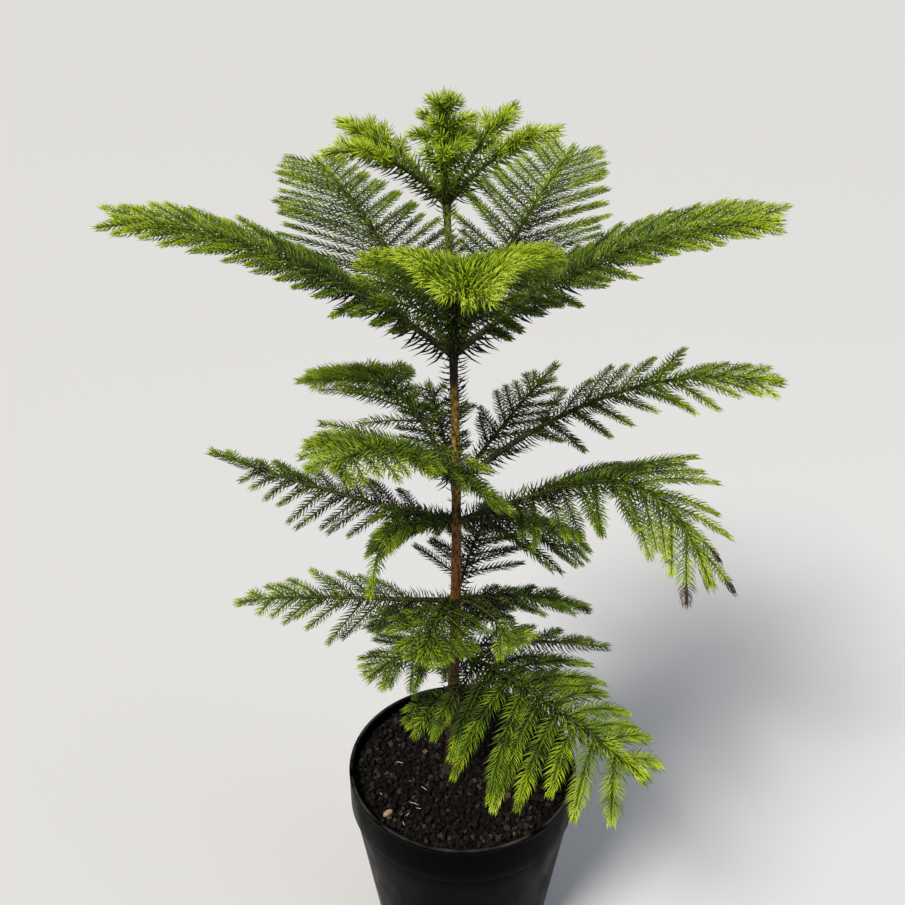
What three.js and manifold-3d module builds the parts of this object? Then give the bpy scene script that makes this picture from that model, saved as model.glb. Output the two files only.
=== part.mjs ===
// A young Norfolk Island pine growing in a round black nursery pot.
//
// Millimetres, +Z up. The origin is the centre of the flat underside of the pot.
// One upright trunk carries whorls of boughs. Each bough is a single tapering limb, and it
// ends where its foliage mass begins: a stem that runs on along the same curve, with two
// rows of twigs, and needles that stand out of every twig.

import * as THREE from 'three';
import Module from 'manifold-3d';

const wasm = await Module();
wasm.setup();

// ---------------------------------------------------------------- driving dimensions

const CLEARANCE = 0.3;            // gap between pieces that touch

const POT_HEIGHT = 240;
const POT_WALL = 1.8;
const POT_SIDES = 36;
const RIM_RADIUS = 125.5;         // outside of the lip, a 250 mm pot
const LIP_DEPTH = 45;             // height of the thicker band under the lip
const LIP_STEP = 3.2;             // how far the band stands out from the wall
const FOOT_RADIUS = 94;
const FOOT_ROUND = 4;             // radius of the edge between wall and underside
const BASE_THICKNESS = 2.6;
const DRAIN_HOLES = 6;
const DRAIN_RADIUS = 7;
const DRAIN_CIRCLE = 66;
const SOIL_TOP = 228;             // level of the soil, where the trunk is cut
const SOIL_HEAP = 3;              // how far heaped granules rise above that
const HEAP_RINGS = [0.84, 0.66, 0.46, 0.27];
const HEAP_CLEAR = 44;            // how far from the trunk's centre the soil stays level

const TRUNK_FOOT_X = -12;         // the trunk stands a little to one side of the pot's axis
const TRUNK_LEAN = -6;            // sideways drift of the tip
const TRUNK_BOW = 7.5;            // sideways bow on the way up
const TRUNK_TOP = 888;
const TRUNK_FOOT_RADIUS = 6.8;
const TRUNK_TOP_RADIUS = 2.7;
const FLARE = 4.2;                // extra radius of the root flare at the soil
const FLARE_HEIGHT = 14;
const NODE_SWELL = 1.3;           // extra radius where a whorl leaves the trunk
const TRUNK_SIDES = 8;
const TRUNK_STEP = 75;            // longest stretch of trunk between two rings

const BOUGH_SIDES = 5;
const SEAT_TRIES = 12;            // halvings in the search for where a limb meets the trunk
const BOUGH_STEPS = 2;
const BOUGH_RADIUS = 2.9;         // at the trunk, for a bough of LONG_REACH
const STEM_TIP_RADIUS = 0.9;
const LONG_REACH = 270;

const STEM_SIDES = 3;
const STEM_STEPS = 5;
const TWIG_SIDES = 3;
const TWIG_RADIUS = 1.15;
const TWIG_TIP_RADIUS = 0.6;
const TWIG_ROOT = 7;              // bare length where a twig leaves its stem
const TWIG_SEGMENT = 40;          // length of twig between two rings of needles
const NEEDLE_REACH = 9;           // how far needles stand out from a twig
const NEEDLE_RAKE = 9;            // how far their points lean forward
const SHORTEST_TWIG = 16;
const INNER_TWIG = 0.72;          // length of the innermost twig against the longest one
const TWIG_SWELL = 1.6;           // how fast twigs lengthen from there along the bough
const PLACE_PLAY = 0.3;           // share of a pair's run over which the place of a twig varies
const TWIG_PLAY = 0.28;           // share by which the lengths of twigs vary
const SPREAD_LOSS = 16;           // degrees by which the outermost twigs lie closer to the bough
const ANGLE_PLAY = 18;            // degrees over which a twig's spread and lift vary
const TWIG_CURL = 0.1;            // how far a twig bends forward along the bough
const FITTED_SHARES = [1, 0.8, 0.6, 0.45];
const FAR_APART = 120;            // stretches that start farther apart than this can't touch
const CLOSEST_CORNERS = 0.004;    // no two corners of a mass lie nearer than this
const SLIVER = 0.2;               // thinnest sliver left by joining
const PHASE_STEP = 5;             // degrees that twigs are turned by to keep corners apart
const PHASES = 16;

// Heights are above the underside of the pot. reach, rise, arch and hook shape the curve of a
// bough: level distance to its tip, height gained at the tip, bow above the straight line, and
// how far the outer end hangs below that. bare is the share of the bough without twigs, pairs
// the twigs on each side, twig the length of the longest one, lift the upward tilt of the
// twigs, roll how far one row is tilted up and the other down, and sag the droop of each twig.
// spread is the angle of the innermost twigs to the bough, taper how much shorter the outermost
// are than the longest. skew is how much longer one row is than the other, sweep how much wider
// it spreads, and play how freely the twigs vary. limb is the share of the bough that is a bare
// limb; where it is 0, the mass meets the trunk.
const WHORLS = [
  {
    name: '1', height: 849, bare: 0.42, pairs: 3, twig: 26, lift: 16, sag: 0.04, limb: 0.15,
    spread: 54, play: 0.6, tone: 'young',
    boughs: [
      { side: 'right', azimuth: 345, reach: 90, rise: 62, arch: 12 },
      { side: 'back_right', azimuth: 55, reach: 103, rise: 68, arch: 10 },
      { side: 'back_left', azimuth: 145, reach: 112, rise: 57, arch: 12 },
      { side: 'left', azimuth: 205, reach: 102, rise: 47, arch: 16 },
      { side: 'front', azimuth: 268, reach: 62, rise: 50, arch: 12, twig: 22 },
    ],
  },
  {
    name: '2', height: 717, bare: 0.12, pairs: 8, twig: 90, lift: 6, sag: 0.1, limb: 0.1,
    play: 0.4, tone: 'fresh',
    boughs: [
      { side: 'left', azimuth: 198, reach: 266, rise: 138, arch: 24, roll: -6, taper: 0.6 },
      { side: 'right', azimuth: 342, reach: 256, rise: 137, arch: 28, roll: 8, taper: 0.66 },
      { side: 'back_left', azimuth: 124, reach: 252, rise: 136, arch: 12, twig: 112, lift: 0,
        sweep: -6, skew: 0.08, taper: 0.68 },
      { side: 'back_right', azimuth: 60, reach: 246, rise: 146, arch: 12, twig: 116, lift: 4,
        skew: 0.1, taper: 0.7 },
      { side: 'front', azimuth: 272, reach: 250, rise: 125, arch: 46, twig: 98, lift: 12, tone: 'young' },
    ],
  },
  {
    name: '3', height: 586, bare: 0.24, pairs: 6, twig: 66, lift: 4, sag: 0.14, limb: 0.2, tone: 'fresh',
    boughs: [
      { side: 'right', azimuth: 355, reach: 284, rise: 115, arch: 42, pairs: 8, roll: 8, taper: 0.6 },
      { side: 'back_right', azimuth: 47, reach: 148, rise: 80, arch: 4, pairs: 5, twig: 50, tone: 'old' },
      { side: 'back', azimuth: 104, reach: 116, rise: 58, arch: 4, pairs: 4, twig: 56, tone: 'old' },
      { side: 'back_left', azimuth: 140, reach: 158, rise: 72, arch: 44, pairs: 7, twig: 88, lift: -2, sag: 0.2,
        spread: 70, sweep: -12, roll: 8, skew: 0.1, taper: 0.7 },
      { side: 'front_left', azimuth: 236, reach: 172, rise: 90, arch: 30, bare: 0.1, pairs: 7, twig: 110,
        sag: 0.22, spread: 74, sweep: 8, limb: 0.08, tone: 'young' },
    ],
  },
  {
    name: '4', height: 546, bare: 0.26, pairs: 5, twig: 62, lift: -6, sag: 0.24, limb: 0.2, tone: 'old',
    boughs: [
      { side: 'left', azimuth: 172, reach: 240, rise: 59, arch: -6, bare: 0.16, pairs: 8, twig: 66,
        roll: -10, skew: -0.15, limb: 0.12 },
      { side: 'front_right', azimuth: 326, reach: 252, rise: 168, hook: 145, pairs: 7, twig: 88, roll: 8,
        taper: 0.45, skew: 0.12, tone: 'fresh' },
      { side: 'back_right', azimuth: 24, reach: 142, rise: -50, arch: 10, bare: 0.14, twig: 82, limb: 0.1 },
      { side: 'back_left', azimuth: 138, reach: 120, rise: -66, arch: 6, bare: 0.14, twig: 60, limb: 0.1 },
      { side: 'front_left', azimuth: 214, reach: 98, rise: 58, hook: 105, bare: 0.16, pairs: 4, twig: 44,
        limb: 0.1, tone: 'fresh' },
    ],
  },
  {
    name: '5', height: 454, bare: 0.12, pairs: 5, twig: 66, lift: 6, sag: 0.16, limb: 0, tone: 'fresh',
    boughs: [
      { side: 'left', azimuth: 187, reach: 214, rise: 30, arch: -2, hook: 14, bare: 0.22, pairs: 6, twig: 60,
        roll: -10, limb: 0.2 },
      { side: 'right', azimuth: 6, reach: 136, rise: -18, arch: 10, twig: 56, roll: -12, skew: -0.2,
        limb: 0.14, tone: 'old' },
      { side: 'back', azimuth: 74, reach: 116, rise: 24, arch: 10, twig: 72, roll: 6, tone: 'old' },
      { side: 'front_left', azimuth: 250, reach: 96, rise: -4, arch: 12 },
      { side: 'front_right', azimuth: 306, reach: 96, rise: 2, arch: 14 },
    ],
  },
  {
    name: '6', height: 392, bare: 0.12, pairs: 5, twig: 62, lift: 2, sag: 0.16, limb: 0, tone: 'fresh',
    boughs: [
      { side: 'left', azimuth: 212, reach: 100, rise: 6, arch: 14 },
      { side: 'front_right', azimuth: 312, reach: 244, rise: 5, arch: 12, bare: 0.14, pairs: 6, twig: 104,
        sag: 0.38, roll: 8, spread: 80, taper: 0.66, skew: -0.1, limb: 0.12, tone: 'young' },
      { side: 'right', azimuth: 358, reach: 156, rise: 8, arch: 8, twig: 50, tone: 'old' },
      { side: 'back_right', azimuth: 62, reach: 104, rise: -4, arch: 12, tone: 'old' },
      { side: 'back_left', azimuth: 138, reach: 112, rise: -4, arch: 12, tone: 'old' },
    ],
  },
  {
    name: '7', height: 339, bare: 0.16, pairs: 4, twig: 48, lift: 0, sag: 0.2, limb: 0, tone: 'old',
    boughs: [
      { side: 'front_left', azimuth: 236, reach: 70, rise: -10, arch: 10, pairs: 3, twig: 38, tone: 'fresh' },
      { side: 'right', azimuth: 4, reach: 144, rise: -2, arch: 10 },
      { side: 'back', azimuth: 104, reach: 100, rise: -8, arch: 12 },
    ],
  },
];

// The leader: twigs of the next whorls, in tiers, that aren't boughs yet.
const LEADER_HEIGHT = 42;         // stem that goes on above the trunk
const LEADER_SAG = 0.3;           // how far its twigs arch over
const LEADER_TIERS = [
  { share: 0.18, twigs: 6, length: 34, climb: 34 },
  { share: 0.42, twigs: 5, length: 33, climb: 46 },
  { share: 0.78, twigs: 5, length: 23, climb: 54 },
];

const COLOURS = {
  young: 0x9ec22f,
  fresh: 0x5f8f2b,
  old: 0x33562a,
  bark: 0x6e5a33,
  wood: 0x5b4c2e,
  pot: 0x0d0e0f,
  soil: 0x2a211c,
};

// ---------------------------------------------------------------- small helpers

const UP = new THREE.Vector3(0, 0, 1);
const radians = THREE.MathUtils.degToRad;
const clamp = THREE.MathUtils.clamp;

// The same series of numbers between 0 and 1 for the same seed.
function seededSeries(seed) {
  let state = seed >>> 0;
  return () => {
    state = (Math.imul(state, 1664525) + 1013904223) >>> 0;
    return state / 4294967296;
  };
}

function solidOf(geometry) {
  return new wasm.Manifold(new wasm.Mesh({
    numProp: 3,
    vertProperties: new Float32Array(geometry.attributes.position.array),
    triVerts: new Uint32Array(geometry.index.array),
  }));
}

function geometryOf(solid) {
  const mesh = solid.getMesh();
  const geometry = new THREE.BufferGeometry();
  geometry.setAttribute('position', new THREE.BufferAttribute(new Float32Array(mesh.vertProperties), 3));
  geometry.setIndex(new THREE.BufferAttribute(new Uint32Array(mesh.triVerts), 1));
  geometry.computeVertexNormals();
  return geometry;
}

function closedGeometry(points, faces) {
  const geometry = new THREE.BufferGeometry();
  geometry.setAttribute('position', new THREE.Float32BufferAttribute(points.flatMap((p) => p.toArray()), 3));
  geometry.setIndex(faces);
  return geometry;
}

// Frames carried along a line of points without twisting.
function carriedFrames(points, reference, headings) {
  let across = reference.clone();
  return points.map((point, i) => {
    const before = points[Math.max(i - 1, 0)];
    const after = points[Math.min(i + 1, points.length - 1)];
    const along = headings?.[i] ?? after.clone().sub(before).normalize();
    across = across.addScaledVector(along, -across.dot(along)).normalize();
    return { along, across: across.clone(), lift: along.clone().cross(across) };
  });
}

// A limb: rings round a line of points. Where needled says so, each side of a stretch between
// two rings rises to the point of a forward-leaning needle; a pointed limb ends in a tip.
function limbGeometry({
  points, radii, sides, reference, headings, phase = 0, twist = 0, needled = () => false, pointed = false,
}) {
  const frames = carriedFrames(points, reference, headings);
  const vertices = [];
  const faces = [];
  const rings = pointed ? points.length - 1 : points.length;
  for (let i = 0; i < rings; i++) {
    for (let k = 0; k < sides; k++) {
      const turn = (2 * Math.PI * k) / sides + phase + i * twist;
      vertices.push(points[i].clone()
        .addScaledVector(frames[i].across, radii[i] * Math.cos(turn))
        .addScaledVector(frames[i].lift, radii[i] * Math.sin(turn)));
    }
  }
  for (let k = 1; k < sides - 1; k++) faces.push(0, k + 1, k);
  for (let i = 0; i < rings - 1; i++) {
    for (let k = 0; k < sides; k++) {
      const corner = [i * sides + k, i * sides + (k + 1) % sides];
      const quad = [corner[0], corner[1], corner[1] + sides, corner[0] + sides];
      if (!needled(i)) {
        faces.push(quad[0], quad[1], quad[2], quad[0], quad[2], quad[3]);
        continue;
      }
      const middle = quad.reduce((sum, q) => sum.add(vertices[q]), new THREE.Vector3()).multiplyScalar(0.25);
      const axis = points[i].clone().add(points[i + 1]).multiplyScalar(0.5);
      const along = frames[i].along;
      const outward = middle.clone().sub(axis);
      outward.addScaledVector(along, -outward.dot(along)).normalize();
      vertices.push(middle.addScaledVector(outward, NEEDLE_REACH - radii[i]).addScaledVector(along, NEEDLE_RAKE));
      const apex = vertices.length - 1;
      for (let e = 0; e < 4; e++) faces.push(quad[e], quad[(e + 1) % 4], apex);
    }
  }
  const last = (rings - 1) * sides;
  if (pointed) {
    vertices.push(points[rings].clone());
    for (let k = 0; k < sides; k++) faces.push(last + k, last + (k + 1) % sides, vertices.length - 1);
  } else {
    for (let k = 1; k < sides - 1; k++) faces.push(last, last + k, last + k + 1);
  }
  return closedGeometry(vertices, faces);
}

function evenSteps(from, to, steps) {
  return Array.from({ length: steps + 1 }, (_, i) => from + ((to - from) * i) / steps);
}

// Shortest distance between two straight stretches.
function stretchDistance(a, b, c, d) {
  const u = b.clone().sub(a);
  const v = d.clone().sub(c);
  const w = a.clone().sub(c);
  const uu = u.dot(u);
  const uv = u.dot(v);
  const vv = v.dot(v);
  const uw = u.dot(w);
  const vw = v.dot(w);
  const spread = uu * vv - uv * uv;
  let s = spread > 1e-9 ? clamp((uv * vw - vv * uw) / spread, 0, 1) : 0;
  const t = clamp((uv * s + vw) / vv, 0, 1);
  s = clamp((uv * t - uw) / uu, 0, 1);
  return a.clone().addScaledVector(u, s).distanceTo(c.clone().addScaledVector(v, t));
}

// ---------------------------------------------------------------- pot and soil

function potWallRadius(height) {
  const share = height / (POT_HEIGHT - LIP_DEPTH);
  return FOOT_RADIUS + (RIM_RADIUS - LIP_STEP - FOOT_RADIUS) * share;
}

function potGeometry() {
  const bandFoot = POT_HEIGHT - LIP_DEPTH;
  const lipRound = POT_WALL;
  const profile = [
    [0, 0],
    [FOOT_RADIUS - FOOT_ROUND, 0],
    [FOOT_RADIUS - FOOT_ROUND * 0.3, FOOT_ROUND * 0.3],
    [potWallRadius(FOOT_ROUND), FOOT_ROUND],
    [potWallRadius(bandFoot), bandFoot],
    [RIM_RADIUS - 0.6, bandFoot + 1.5],
    [RIM_RADIUS, POT_HEIGHT - lipRound],
    [RIM_RADIUS - lipRound, POT_HEIGHT],
    [RIM_RADIUS - LIP_STEP - POT_WALL, POT_HEIGHT - 1],
    [potWallRadius(bandFoot) - POT_WALL, bandFoot],
    [potWallRadius(BASE_THICKNESS) - POT_WALL, BASE_THICKNESS],
    [0, BASE_THICKNESS],
  ];
  return revolved(profile);
}

// The fill of the pot. Its top is heaped unevenly, in lumps as wide as a few granules.
function soilGeometry() {
  const inside = potWallRadius(BASE_THICKNESS) - POT_WALL - CLEARANCE;
  const shoulder = potWallRadius(POT_HEIGHT - LIP_DEPTH) - POT_WALL - CLEARANCE;
  const soil = revolved([
    [0, BASE_THICKNESS + CLEARANCE],
    [inside, BASE_THICKNESS + CLEARANCE],
    [shoulder, POT_HEIGHT - LIP_DEPTH],
    [shoulder, SOIL_TOP],
    ...HEAP_RINGS.map((share) => [shoulder * share, SOIL_TOP]),
    [0, SOIL_TOP],
  ]);
  const random = seededSeries(77);
  const corners = soil.attributes.position;
  for (let i = 0; i < corners.count; i++) {
    const fromTrunk = Math.hypot(corners.getX(i) - TRUNK_FOOT_X, corners.getY(i));
    if (corners.getZ(i) < SOIL_TOP || fromTrunk < HEAP_CLEAR) continue;
    corners.setZ(i, SOIL_TOP + SOIL_HEAP * random());
  }
  return soil;
}

// A closed turned body from a profile that starts and ends on the axis.
function revolved(profile) {
  const vertices = [];
  const faces = [];
  const rows = profile.slice(1, -1);
  for (const [radius, height] of rows) {
    for (let k = 0; k < POT_SIDES; k++) {
      const turn = (2 * Math.PI * k) / POT_SIDES;
      vertices.push(new THREE.Vector3(radius * Math.cos(turn), radius * Math.sin(turn), height));
    }
  }
  for (let r = 0; r < rows.length - 1; r++) {
    for (let k = 0; k < POT_SIDES; k++) {
      const a = r * POT_SIDES + k;
      const b = r * POT_SIDES + (k + 1) % POT_SIDES;
      faces.push(a, b, b + POT_SIDES, a, b + POT_SIDES, a + POT_SIDES);
    }
  }
  const start = vertices.push(new THREE.Vector3(0, 0, profile[0][1])) - 1;
  const end = vertices.push(new THREE.Vector3(0, 0, profile.at(-1)[1])) - 1;
  const last = (rows.length - 1) * POT_SIDES;
  for (let k = 0; k < POT_SIDES; k++) {
    const next = (k + 1) % POT_SIDES;
    faces.push(start, next, k, end, last + k, last + next);
  }
  return closedGeometry(vertices, faces);
}

function drainedPot() {
  let pot = solidOf(potGeometry());
  for (let k = 0; k < DRAIN_HOLES; k++) {
    const turn = (2 * Math.PI * (k + 0.5)) / DRAIN_HOLES;
    const hole = limbGeometry({
      points: [-5, BASE_THICKNESS + 5].map((height) => (
        new THREE.Vector3(DRAIN_CIRCLE * Math.cos(turn), DRAIN_CIRCLE * Math.sin(turn), height))),
      radii: [DRAIN_RADIUS, DRAIN_RADIUS],
      sides: 8,
      reference: new THREE.Vector3(1, 0, 0),
    });
    pot = pot.subtract(solidOf(hole));
  }
  return geometryOf(pot);
}

// ---------------------------------------------------------------- trunk

function trunkAxis(height) {
  const share = (height - SOIL_TOP) / (TRUNK_TOP - SOIL_TOP);
  const x = TRUNK_FOOT_X + TRUNK_LEAN * share + TRUNK_BOW * Math.sin(Math.PI * Math.max(share, 0) ** 1.15);
  return new THREE.Vector3(x, 0, height);
}

function trunkRadius(height) {
  const share = clamp((height - SOIL_TOP) / (TRUNK_TOP - SOIL_TOP), 0, 1);
  const flare = FLARE * Math.exp(-(height - SOIL_TOP) / FLARE_HEIGHT);
  const swell = WHORLS.reduce((most, whorl) => (
    Math.max(most, NODE_SWELL * Math.exp(-(((height - whorl.height) / 7) ** 2)))), 0);
  const taper = TRUNK_FOOT_RADIUS + (TRUNK_TOP_RADIUS - TRUNK_FOOT_RADIUS) * share ** 0.8;
  return taper + flare + swell * (1 - 0.5 * share);
}

// A ring at the soil, two in the root flare, one at each whorl and enough in between.
function trunkHeights() {
  const heights = [SOIL_TOP + CLEARANCE, SOIL_TOP + 6, SOIL_TOP + 18];
  for (const next of [...WHORLS.map((whorl) => whorl.height).reverse(), TRUNK_TOP]) {
    const last = heights.at(-1);
    heights.push(...evenSteps(last, next, Math.ceil((next - last) / TRUNK_STEP)).slice(1));
  }
  return heights;
}

function trunkGeometry() {
  const heights = trunkHeights();
  return limbGeometry({
    points: heights.map(trunkAxis),
    headings: heights.map(() => UP),
    radii: heights.map(trunkRadius),
    sides: TRUNK_SIDES,
    reference: new THREE.Vector3(1, 0, 0),
  });
}

// ---------------------------------------------------------------- boughs and their foliage

// A bough with the values of its whorl filled in, and its curve.
function boughOf(whorl, own, seed) {
  const bough = {
    arch: 0, hook: 0, roll: 0, spread: 62, taper: 0.8, skew: 0, sweep: 0, play: 1, ...whorl, ...own, seed,
  };
  const turn = radians(bough.azimuth);
  bough.outward = new THREE.Vector3(Math.cos(turn), Math.sin(turn), 0);
  bough.sideways = new THREE.Vector3(-Math.sin(turn), Math.cos(turn), 0);
  bough.label = `${whorl.name}_${own.side}`;
  bough.start = trunkAxis(bough.height);
  bough.curve = (t) => bough.start.clone()
    .addScaledVector(bough.outward, bough.reach * t)
    .addScaledVector(UP, bough.rise * t + bough.arch * 4 * t * (1 - t) - bough.hook * t ** 5);
  bough.heading = (t) => bough.outward.clone().multiplyScalar(bough.reach)
    .addScaledVector(UP, bough.rise + bough.arch * 4 * (1 - 2 * t) - 5 * bough.hook * t ** 4).normalize();
  bough.length = bough.curve(0).distanceTo(bough.curve(0.5)) + bough.curve(0.5).distanceTo(bough.curve(1));
  bough.root = (trunkRadius(bough.height) + BOUGH_RADIUS * 0.5 + CLEARANCE) / bough.reach;
  bough.radius = (t) => {
    const stout = BOUGH_RADIUS * (0.45 + 0.55 * Math.min(bough.reach / LONG_REACH, 1));
    return STEM_TIP_RADIUS + (stout - STEM_TIP_RADIUS) * (1 - t);
  };
  return bough;
}

// Where a bough gives way to its foliage mass, as a share of its reach.
function handover(bough) {
  return bough.limb > 0 ? bough.limb : bough.root;
}

// The share of its reach at which a limb starts, so that it stands CLEARANCE off the trunk.
function seatShare(bough, sides, trunk) {
  let [near, far] = [0, bough.root * 1.2];
  for (let k = 0; k < SEAT_TRIES; k++) {
    const middle = (near + far) / 2;
    const shares = [middle, middle + bough.root];
    const limb = solidOf(limbGeometry({
      points: shares.map(bough.curve),
      headings: shares.map(bough.heading),
      radii: shares.map(bough.radius),
      sides,
      reference: UP,
    }));
    if (limb.minGap(trunk, 5) < CLEARANCE) near = middle; else far = middle;
  }
  return far;
}

function boughGeometry(bough, trunk) {
  const shares = evenSteps(seatShare(bough, BOUGH_SIDES, trunk), bough.limb, BOUGH_STEPS);
  return limbGeometry({
    points: shares.map(bough.curve),
    headings: shares.map(bough.heading),
    radii: shares.map(bough.radius),
    sides: BOUGH_SIDES,
    reference: UP,
  });
}

// The two rows of twigs along a bough: where each leaves it, which way and how long.
function twigPlan(bough) {
  const random = seededSeries(bough.seed);
  const plan = [];
  for (let i = 0; i < bough.pairs; i++) {
    for (const hand of [-1, 1]) {
      const offset = hand > 0 ? 0.5 : 0;
      const share = (i + offset + PLACE_PLAY * bough.play * random()) / bough.pairs;
      const t = Math.max(bough.bare + (0.95 - bough.bare) * share, handover(bough) + TWIG_ROOT / bough.reach);
      const swell = Math.min(1, INNER_TWIG + TWIG_SWELL * share);
      const taper = (1 - bough.taper * share ** 1.5) * (1 + bough.skew * hand);
      const length = bough.twig * swell * taper * (1 - TWIG_PLAY * bough.play * (0.64 - random()));
      const angle = bough.spread + bough.sweep * hand - SPREAD_LOSS * share;
      const spread = radians(angle + ANGLE_PLAY * bough.play * (random() - 0.5));
      const tilt = bough.lift * (0.4 + 1.2 * share) + bough.roll * hand;
      const lift = radians(tilt + ANGLE_PLAY * bough.play * (random() - 0.5));
      plan.push({ t, hand, length, spread, lift });
    }
  }
  return plan;
}

function twigPoints(bough, twig, length) {
  const root = bough.curve(twig.t);
  const along = bough.heading(twig.t);
  const side = bough.sideways.clone().multiplyScalar(twig.hand);
  const above = along.clone().cross(side).multiplyScalar(-twig.hand).normalize();
  if (above.z < 0) above.negate();
  const out = side.multiplyScalar(Math.cos(twig.lift)).addScaledVector(above, Math.sin(twig.lift));
  const heading = along.clone().multiplyScalar(Math.cos(twig.spread)).addScaledVector(out, Math.sin(twig.spread));
  const segments = Math.max(1, Math.round((length - TWIG_ROOT) / TWIG_SEGMENT));
  const first = TWIG_ROOT / length;
  const shares = [0, ...evenSteps(first, 1, segments)];
  return shares.map((s) => {
    return root.clone()
      .addScaledVector(heading, length * s)
      .addScaledVector(along, TWIG_CURL * length * s * s)
      .addScaledVector(UP, -bough.sag * length * s * s);
  });
}

function twigGeometry({ points, stemRadius }, phase) {
  const tip = points.at(-1).clone().addScaledVector(points.at(-1).clone().sub(points.at(-2)).normalize(), 5);
  const line = [...points, tip];
  const last = points.length - 1;
  const radii = line.map((_, i) => TWIG_RADIUS + (TWIG_TIP_RADIUS - TWIG_RADIUS) * Math.min(i / last, 1));
  radii[0] = stemRadius * 0.45;
  return limbGeometry({
    points: line,
    radii,
    sides: TWIG_SIDES,
    reference: UP,
    phase,
    twist: radians(38),
    needled: (i) => i > 0,
    pointed: true,
  });
}

function stemGeometry(bough, trunk) {
  const start = bough.limb > 0 ? bough.limb : seatShare(bough, STEM_SIDES, trunk);
  const shares = evenSteps(start, 1, STEM_STEPS);
  const points = shares.map(bough.curve);
  if (bough.limb > 0) points[0].addScaledVector(bough.heading(bough.limb), CLEARANCE);
  points.push(points.at(-1).clone().addScaledVector(points.at(-1).clone().sub(points.at(-2)).normalize(), 5));
  return limbGeometry({
    points,
    headings: [...shares, 1].map(bough.heading),
    radii: [...shares, 1].map(bough.radius),
    sides: STEM_SIDES,
    reference: UP,
    twist: radians(20),
    needled: (i) => i >= STEM_STEPS - 2,
    pointed: true,
  });
}

// ---------------------------------------------------------------- keeping each mass to its own space

const occupied = [];              // stretches of limb that other masses must stay clear of

function occupy(owner, points, reachOf) {
  for (let i = 0; i < points.length - 1; i++) {
    occupied.push({ owner, a: points[i], b: points[i + 1], reach: reachOf(i) });
  }
}

function clearOfOthers(owner, points) {
  for (let i = 0; i < points.length - 1; i++) {
    for (const other of occupied) {
      if (other.owner === owner) continue;
      const room = NEEDLE_REACH + other.reach + CLEARANCE;
      const apart = points[i].distanceTo(other.a);
      if (apart > FAR_APART + room) continue;
      if (stretchDistance(points[i], points[i + 1], other.a, other.b) < room) return false;
    }
  }
  return true;
}

function clearOfPot(points) {
  return points.every((p) => {
    const overPot = Math.hypot(p.x, p.y) < RIM_RADIUS + NEEDLE_REACH + 2;
    return !overPot || p.z > POT_HEIGHT + NEEDLE_REACH + 2;
  });
}

// The longest form of a twig that has room, or nothing.
function fittedTwig(bough, twig) {
  for (const share of FITTED_SHARES) {
    const length = twig.length * share;
    if (length < SHORTEST_TWIG) return null;
    const points = twigPoints(bough, twig, length);
    if (clearOfOthers(bough.label, points) && clearOfPot(points)) return points;
  }
  return null;
}

function wellSpaced(geometry) {
  const position = geometry.attributes.position;
  const points = Array.from({ length: position.count }, (_, i) => (
    new THREE.Vector3().fromBufferAttribute(position, i)));
  return points.every((p, i) => points.every((q, j) => j <= i || p.distanceTo(q) > CLOSEST_CORNERS));
}

// One closed body from overlapping solids, with its slivers cleaned away. Twigs are turned a
// little about their own axes until no two corners of the body nearly meet.
function joined(solidsAt) {
  let geometry;
  for (let k = 0; k < PHASES; k++) {
    const parts = wasm.Manifold.union(solidsAt(radians(PHASE_STEP * k))).simplify(SLIVER).decompose();
    parts.sort((a, b) => b.volume() - a.volume());
    geometry = geometryOf(parts[0]);
    if (wellSpaced(geometry)) break;
  }
  return geometry;
}

function foliageGeometry(bough, trunk) {
  const twigs = [];
  for (const twig of twigPlan(bough)) {
    const points = fittedTwig(bough, twig);
    if (!points) continue;
    occupy(bough.label, points, () => NEEDLE_REACH);
    twigs.push({ points, stemRadius: bough.radius(twig.t) });
  }
  const stem = solidOf(stemGeometry(bough, trunk));
  return joined((phase) => [stem, ...twigs.map((twig) => solidOf(twigGeometry(twig, phase)))]);
}

function leaderGeometry() {
  const foot = trunkAxis(TRUNK_TOP).addScaledVector(UP, CLEARANCE);
  const random = seededSeries(901);
  const twigs = [];
  for (const tier of LEADER_TIERS) {
    for (let k = 0; k < tier.twigs; k++) {
      const turn = radians((360 * (k + 0.5 * random())) / tier.twigs);
      const length = tier.length * (0.85 + 0.25 * random());
      const climb = radians(tier.climb + 14 * (random() - 0.5));
      const heading = new THREE.Vector3(
        Math.cos(turn) * Math.cos(climb), Math.sin(turn) * Math.cos(climb), Math.sin(climb));
      const root = foot.clone().addScaledVector(UP, LEADER_HEIGHT * tier.share);
      const points = [0, TWIG_ROOT / length, 1].map((s) => root.clone()
        .addScaledVector(heading, length * s)
        .addScaledVector(UP, -LEADER_SAG * length * s * s));
      if (clearOfOthers('trunk', points)) twigs.push({ points, stemRadius: 2 });
    }
  }
  const shares = [0, 0.4, 0.75, 1, 1.08];
  const stem = solidOf(limbGeometry({
    points: shares.map((share) => foot.clone().addScaledVector(UP, LEADER_HEIGHT * share)),
    radii: [TRUNK_TOP_RADIUS, 1.9, 1.4, 0.9, 0],
    sides: STEM_SIDES,
    reference: new THREE.Vector3(1, 0, 0),
    twist: radians(30),
    needled: (i) => i > 0,
    pointed: true,
  }));
  return joined((phase) => [stem, ...twigs.map((twig) => solidOf(twigGeometry(twig, phase)))]);
}

// ---------------------------------------------------------------- the whole plant

const plant = new THREE.Group();

function addPiece(name, geometry, colour, roughness) {
  const material = new THREE.MeshStandardMaterial({ color: colour, roughness, metalness: 0 });
  const mesh = new THREE.Mesh(geometry, material);
  mesh.name = name;
  plant.add(mesh);
}

addPiece('pot', drainedPot(), COLOURS.pot, 0.35);
addPiece('soil', soilGeometry(), COLOURS.soil, 0.95);

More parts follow.
